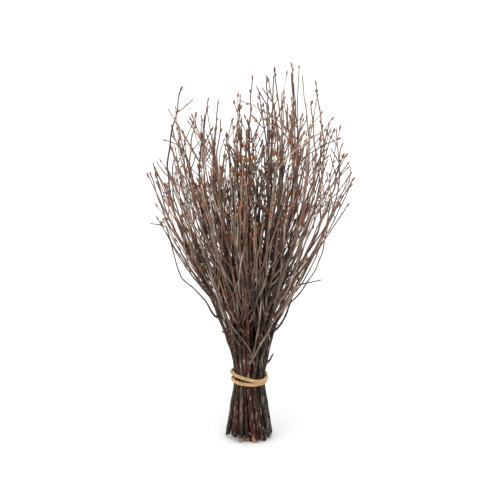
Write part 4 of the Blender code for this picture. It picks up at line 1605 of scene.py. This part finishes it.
def twine_reach(sections, angle):
    """How far from the axis a strand's middle lies when it is drawn tight round the stems."""
    best = 1.0
    for k in range(DIRECTIONS):
        way = math.tau * k / DIRECTIONS
        facing = math.cos(angle - way)
        if facing < LEAST_FACING:
            continue
        support = (sections[:, 0] * math.cos(way) + sections[:, 1] * math.sin(way)
                   + sections[:, 2] * STEM_ALLOWANCE).max()
        best = min(best, support / facing)
    return best + GAP + TWINE_RADIUS + TWINE_CLEARANCE


def lift_off(line, twigs):
    """Moves the strands out where a stem bulges between two points of the twine's line."""
    low = np.array([twig.points[k] for twig in twigs for k in (1, 2)])
    high = np.array([twig.points[k + 1] for twig in twigs for k in (1, 2)])
    low_r = np.array([twig.radii[k] for twig in twigs for k in (1, 2)])
    high_r = np.array([twig.radii[k + 1] for twig in twigs for k in (1, 2)])
    line = np.array(line)
    for _ in range(LIFT_ROUNDS):
        for k in range(len(line) - 1):
            a = np.repeat(line[k:k + 1], len(low), 0)
            b = np.repeat(line[k + 1:k + 2], len(low), 0)
            s, t = nearest_points(a, b, low, high)
            gap = a + (b - a) * s[:, None] - low - (high - low) * t[:, None]
            far = np.sqrt((gap ** 2).sum(1))
            short = low_r + (high_r - low_r) * t + TWINE_RADIUS + GAP - far
            worst = int(short.argmax())
            if short[worst] > 0:
                for end, share in ((k, 1 - s[worst]), (k + 1, s[worst])):
                    out = unit(line[end] * np.array([1.0, 1.0, 0.0]))
                    line[end] += out * short[worst] * (0.3 + 0.7 * share)
    return list(line)


def twine_line(twigs):
    """The twine's middle line, from one cut end through the knot, twice round, and out by the knot."""
    middle = TIE_HEIGHT + KNOT_HEIGHT
    sections = stem_sections(twigs, middle)
    depth = twine_reach(sections, math.pi / 2) + KNOT_OUT

    def through_knot(start_phase):
        line = []
        for k in range(KNOT_POINTS):
            share = k / (KNOT_POINTS - 1)
            phase = start_phase + math.tau * share
            line.append(np.array([KNOT_LENGTH * (0.5 - share), depth + KNOT_RADIUS * math.sin(phase),
                                  middle + KNOT_RADIUS * math.cos(phase)]))
        return line

    first_end, last_end = [[np.array([x, depth + out, middle + rise]) for x, out, rise in end]
                           for end in (FIRST_END, LAST_END)]
    line = first_end + through_knot(math.pi)
    for degrees, above in TWINE_HEIGHTS:
        angle = math.radians(degrees)
        z = TIE_HEIGHT + above / 1000 - TWINE_SINK
        reach = twine_reach(stem_sections(twigs, z), angle)
        reach += TWINE_RIDES.get(degrees, 0.0) / 1000
        line.append(np.array([reach * math.cos(angle), reach * math.sin(angle), z]))
    reach = twine_reach(sections, ENTRY_ANGLE) + ENTRY_OUT
    line.append(np.array([reach * math.cos(ENTRY_ANGLE), reach * math.sin(ENTRY_ANGLE), middle + ENTRY_RISE]))
    line += through_knot(0.0) + last_end
    return lift_off(line, twigs)


twine_path = twine_line(twigs)
middle_line, _, twine_along = smooth_line(twine_path, [TWINE_RADIUS] * len(twine_path), TWINE_STEP)
print("twine length in millimetres:", round(twine_along[-1] * 1000))

# %% [markdown]
# Jute twine is laid from three plies. Each of them is a line that spirals about the twine's middle line, one
# turn in every eight millimetres. Where the twine is wound round the stems the spiral is stretched upwards,
# because the twine is pressed flat there. At the cut ends the plies come apart a little.

# %% Lay the plies
PLY_OFFSET = 0.00058
PLY_RADIUS = 0.00078
FLATNESS = TWINE_HALF_HEIGHT / TWINE_RADIUS
LAY_LENGTH = 0.0080
FLATTENING_LENGTH = 0.006
LOOSE_LENGTH = 0.0025
LOOSENESS = 0.9

# Where the twine is pressed flat the spiral is this much taller, and flatter against the stems.
TALLER = 1.55
FLATTER = 0.15

# How unevenly the plies lie and how unevenly thick they are, as shares, and how fast that changes.
UNEVEN_LAY = 0.06
UNEVEN_PLY = 0.05
LAY_CHANGES = 900
PLY_CHANGES = 1300

# The wound part of the twine, as lengths along it: after its first end's two points and the knot's.
path_steps = np.linalg.norm(np.diff(np.array(twine_path), axis=0), axis=1)
corner_along = np.concatenate([[0.0], np.cumsum(path_steps)])
first_wound = len(FIRST_END) + KNOT_POINTS
wound_from = corner_along[first_wound]
wound_to = corner_along[first_wound + len(TWINE_HEIGHTS) - 1]


def twine_frames(points):
    """At each point of the twine, the direction away from the bundle's axis and the one across it."""
    firsts, seconds = [], []
    for k in range(len(points)):
        tangent = unit(points[min(k + 1, len(points) - 1)] - points[max(k - 1, 0)])
        out = points[k] * np.array([1.0, 1.0, 0.0])
        first = unit(out - out.dot(tangent) * tangent)
        firsts.append(first)
        seconds.append(np.cross(tangent, first))
    return np.array(firsts), np.array(seconds)


def lay_plies():
    """Three plies round the twine's middle line, loosened where the twine is cut off."""
    firsts, seconds = twine_frames(middle_line)
    plies = []
    inside_wound = np.minimum(twine_along - wound_from, wound_to - twine_along)
    wound = np.clip(inside_wound / FLATTENING_LENGTH, 0.0, 1.0)
    tall = 1 + (FLATNESS * TALLER - 1) * wound
    flat = 1 - FLATTER * wound
    from_end = np.minimum(twine_along, twine_along[-1] - twine_along)
    loose = 1 + LOOSENESS * np.exp(-(from_end / LOOSE_LENGTH) ** 2)
    for ply in range(3):
        phase = math.tau * (twine_along / LAY_LENGTH + ply / 3)
        wobble = 1 + UNEVEN_LAY * np.sin(twine_along * LAY_CHANGES + ply * 2.1)
        offset = PLY_OFFSET * loose * wobble
        points = (middle_line + (offset * np.cos(phase) * flat)[:, None] * firsts
                  + (offset * np.sin(phase) * tall)[:, None] * seconds)
        uneven = 1 + UNEVEN_PLY * np.sin(twine_along * PLY_CHANGES + ply)
        radii = PLY_RADIUS * uneven * (1 - 0.25 * (loose - 1))
        plies.append(Line(0, "shoot", points, radii, [], twine_along))
    return plies


twine_dice = random.Random(606)
plies = lay_plies()
twine = skin_lines("twine", plies, "shoot", twine_dice)
print("twine faces:", len(twine.data.polygons))

# %% [markdown]
# Jute is hairy. Fine stray fibres stand off the plies and a few hang out of the cut ends. They are very thin
# curled tubes, made with the same tool.

# %% Stray fibres
FIBRE_COUNT = 320
END_FIBRES = 24
FIBRE_RADIUS = 0.000045
FIBRE_WIDTHS = FIBRE_RADIUS * np.array([1.0, 1.0, 0.9, 0.8, 0.5])
FIBRE_LENGTHS = (0.0014, 0.0038)
FIBRE_LIFTS = (0.15, 0.55)


def stray_fibres(dice):
    """Thin lines that leave the plies at random places, the first of them at the twine's cut ends."""
    fibres = []
    for n in range(FIBRE_COUNT):
        ply = plies[n % 3]
        k = int(dice.uniform(4, len(ply.points) - 5))
        if n < END_FIBRES:
            k = 2 if n % 2 else len(ply.points) - 3
        out = unit(ply.points[k] - middle_line[k])
        along = unit(ply.points[k + 1] - ply.points[k - 1]) * dice.choice((-1, 1))
        start = ply.points[k] + out * PLY_RADIUS * 0.7
        length = dice.uniform(*FIBRE_LENGTHS)
        lift = dice.uniform(*FIBRE_LIFTS)
        points = [start]
        way = unit(along + out * lift)
        pieces = len(FIBRE_WIDTHS) - 1
        for _ in range(pieces):
            points.append(points[-1] + way * length / pieces)
            way = unit(way + out * dice.uniform(-0.35, 0.2) + np.array([0, 0, dice.uniform(-0.3, 0.3)]))
        at = np.linspace(0, length, len(points))
        fibres.append(Line(0, "fibre", np.array(points), FIBRE_WIDTHS, [], at))
    return fibres


fuzz = skin_lines("twine_fuzz", stray_fibres(twine_dice), "fibre", twine_dice)
print("fibre faces:", len(fuzz.data.polygons))

# %% [markdown]
# Jute is pale straw to golden brown. Its fibres are too fine to model one by one, so they show as fine noise
# in the colour and in the relief, with broad paler and darker patches over it.

# %% Jute material
jute, tree, shader = new_material("jute_twine")
fibre_noise = grain(tree, (1.0, 1.0, 2.2), 1100.0, 3.0)
base = ramp_node(tree, fibre_noise, (
    (0.28, (0.240, 0.125, 0.042)), (0.50, (0.530, 0.335, 0.125)), (0.72, (0.760, 0.540, 0.250))))
blotch = grain(tree, (1.0, 1.0, 1.0), 120.0, 2.0)
blotch_tone = ramp_node(tree, blotch, ((0.35, (0.80, 0.76, 0.70)), (0.65, (1.08, 1.06, 1.04))))
colour = mix_colours(tree, 1.0, base, blotch_tone, "MULTIPLY")
set_surface(tree, shader, colour, 0.88)
shader.inputs["Sheen Weight"].default_value = 0.25
shader.inputs["Sheen Roughness"].default_value = 0.6
add_bump(tree, shader, fibre_noise, 0.8, 0.0003)
print("jute nodes:", len(tree.nodes))

# %% [markdown]
# The plies and the stray fibres get the same finish and are joined in one piece, because they are one length
# of twine. It takes the place of the twine's solid.

# %% Put the twine together
twine.data.materials.append(jute)
fuzz.data.materials.append(jute)
join_pieces([twine, fuzz], 60)
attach(twine, "root")
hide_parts("twine_tie")
print("twine faces with its fibres:", len(twine.data.polygons))

# %% [markdown]
# The bundle stands on a plain pale floor that runs on to the horizon. A large soft light stands above it,
# in front and a little to the left, and the room fills in the rest.

# %% Floor, light and background
clear_selection()
bpy.ops.mesh.primitive_plane_add(size=40.0, location=(0, 0, 0))
floor = bpy.context.object
floor.name = "floor"
floor_paint, tree, shader = new_material("pale_floor")
shader.inputs["Base Color"].default_value = (0.88, 0.88, 0.88, 1.0)
shader.inputs["Roughness"].default_value = 0.9
floor.data.materials.append(floor_paint)

world = bpy.context.scene.world or bpy.data.worlds.new("studio")
bpy.context.scene.world = world
world.use_nodes = True
sky = world.node_tree.nodes["Background"]
sky.inputs["Color"].default_value = (1.0, 1.0, 1.0, 1.0)
sky.inputs["Strength"].default_value = 1.0

clear_selection()
bpy.ops.object.light_add(type="SUN", location=(-1.0, -1.5, 2.0))
key = bpy.context.object
key.name = "key_light"
key.data.energy = 1.7
key.data.angle = math.radians(75)
key.rotation_euler = Vector((0.12, 0.66, -0.76)).to_track_quat("-Z", "Y").to_euler()
bpy.context.scene.view_settings.view_transform = "Standard"
print("light:", key.name, key.data.energy)

# %% [markdown]
# The photograph looks at the bundle from in front and a little from above, with a long lens. The distance
# and the focal length together give the bundle its size in the picture.

# %% Camera
CAMERA_DISTANCE = 1.60
CAMERA_RISE = math.radians(13)
AIM_HEIGHT = 0.2085
PIXELS_PER_METRE = 945.0
PICTURE_PIXELS = 500
SENSOR_WIDTH = 36.0
clear_selection()
aim = Vector((0.0008, 0.0, AIM_HEIGHT))
seat = aim + CAMERA_DISTANCE * Vector((0.0, -math.cos(CAMERA_RISE), math.sin(CAMERA_RISE)))
bpy.ops.object.camera_add(location=seat)
camera = bpy.context.object
camera.rotation_euler = (aim - seat).to_track_quat("-Z", "Y").to_euler()
camera.data.sensor_width = SENSOR_WIDTH
camera.data.lens = SENSOR_WIDTH * PIXELS_PER_METRE * CAMERA_DISTANCE / PICTURE_PIXELS
camera.data.clip_end = 100.0
bpy.context.scene.camera = camera
print("lens in millimetres:", round(camera.data.lens, 1))
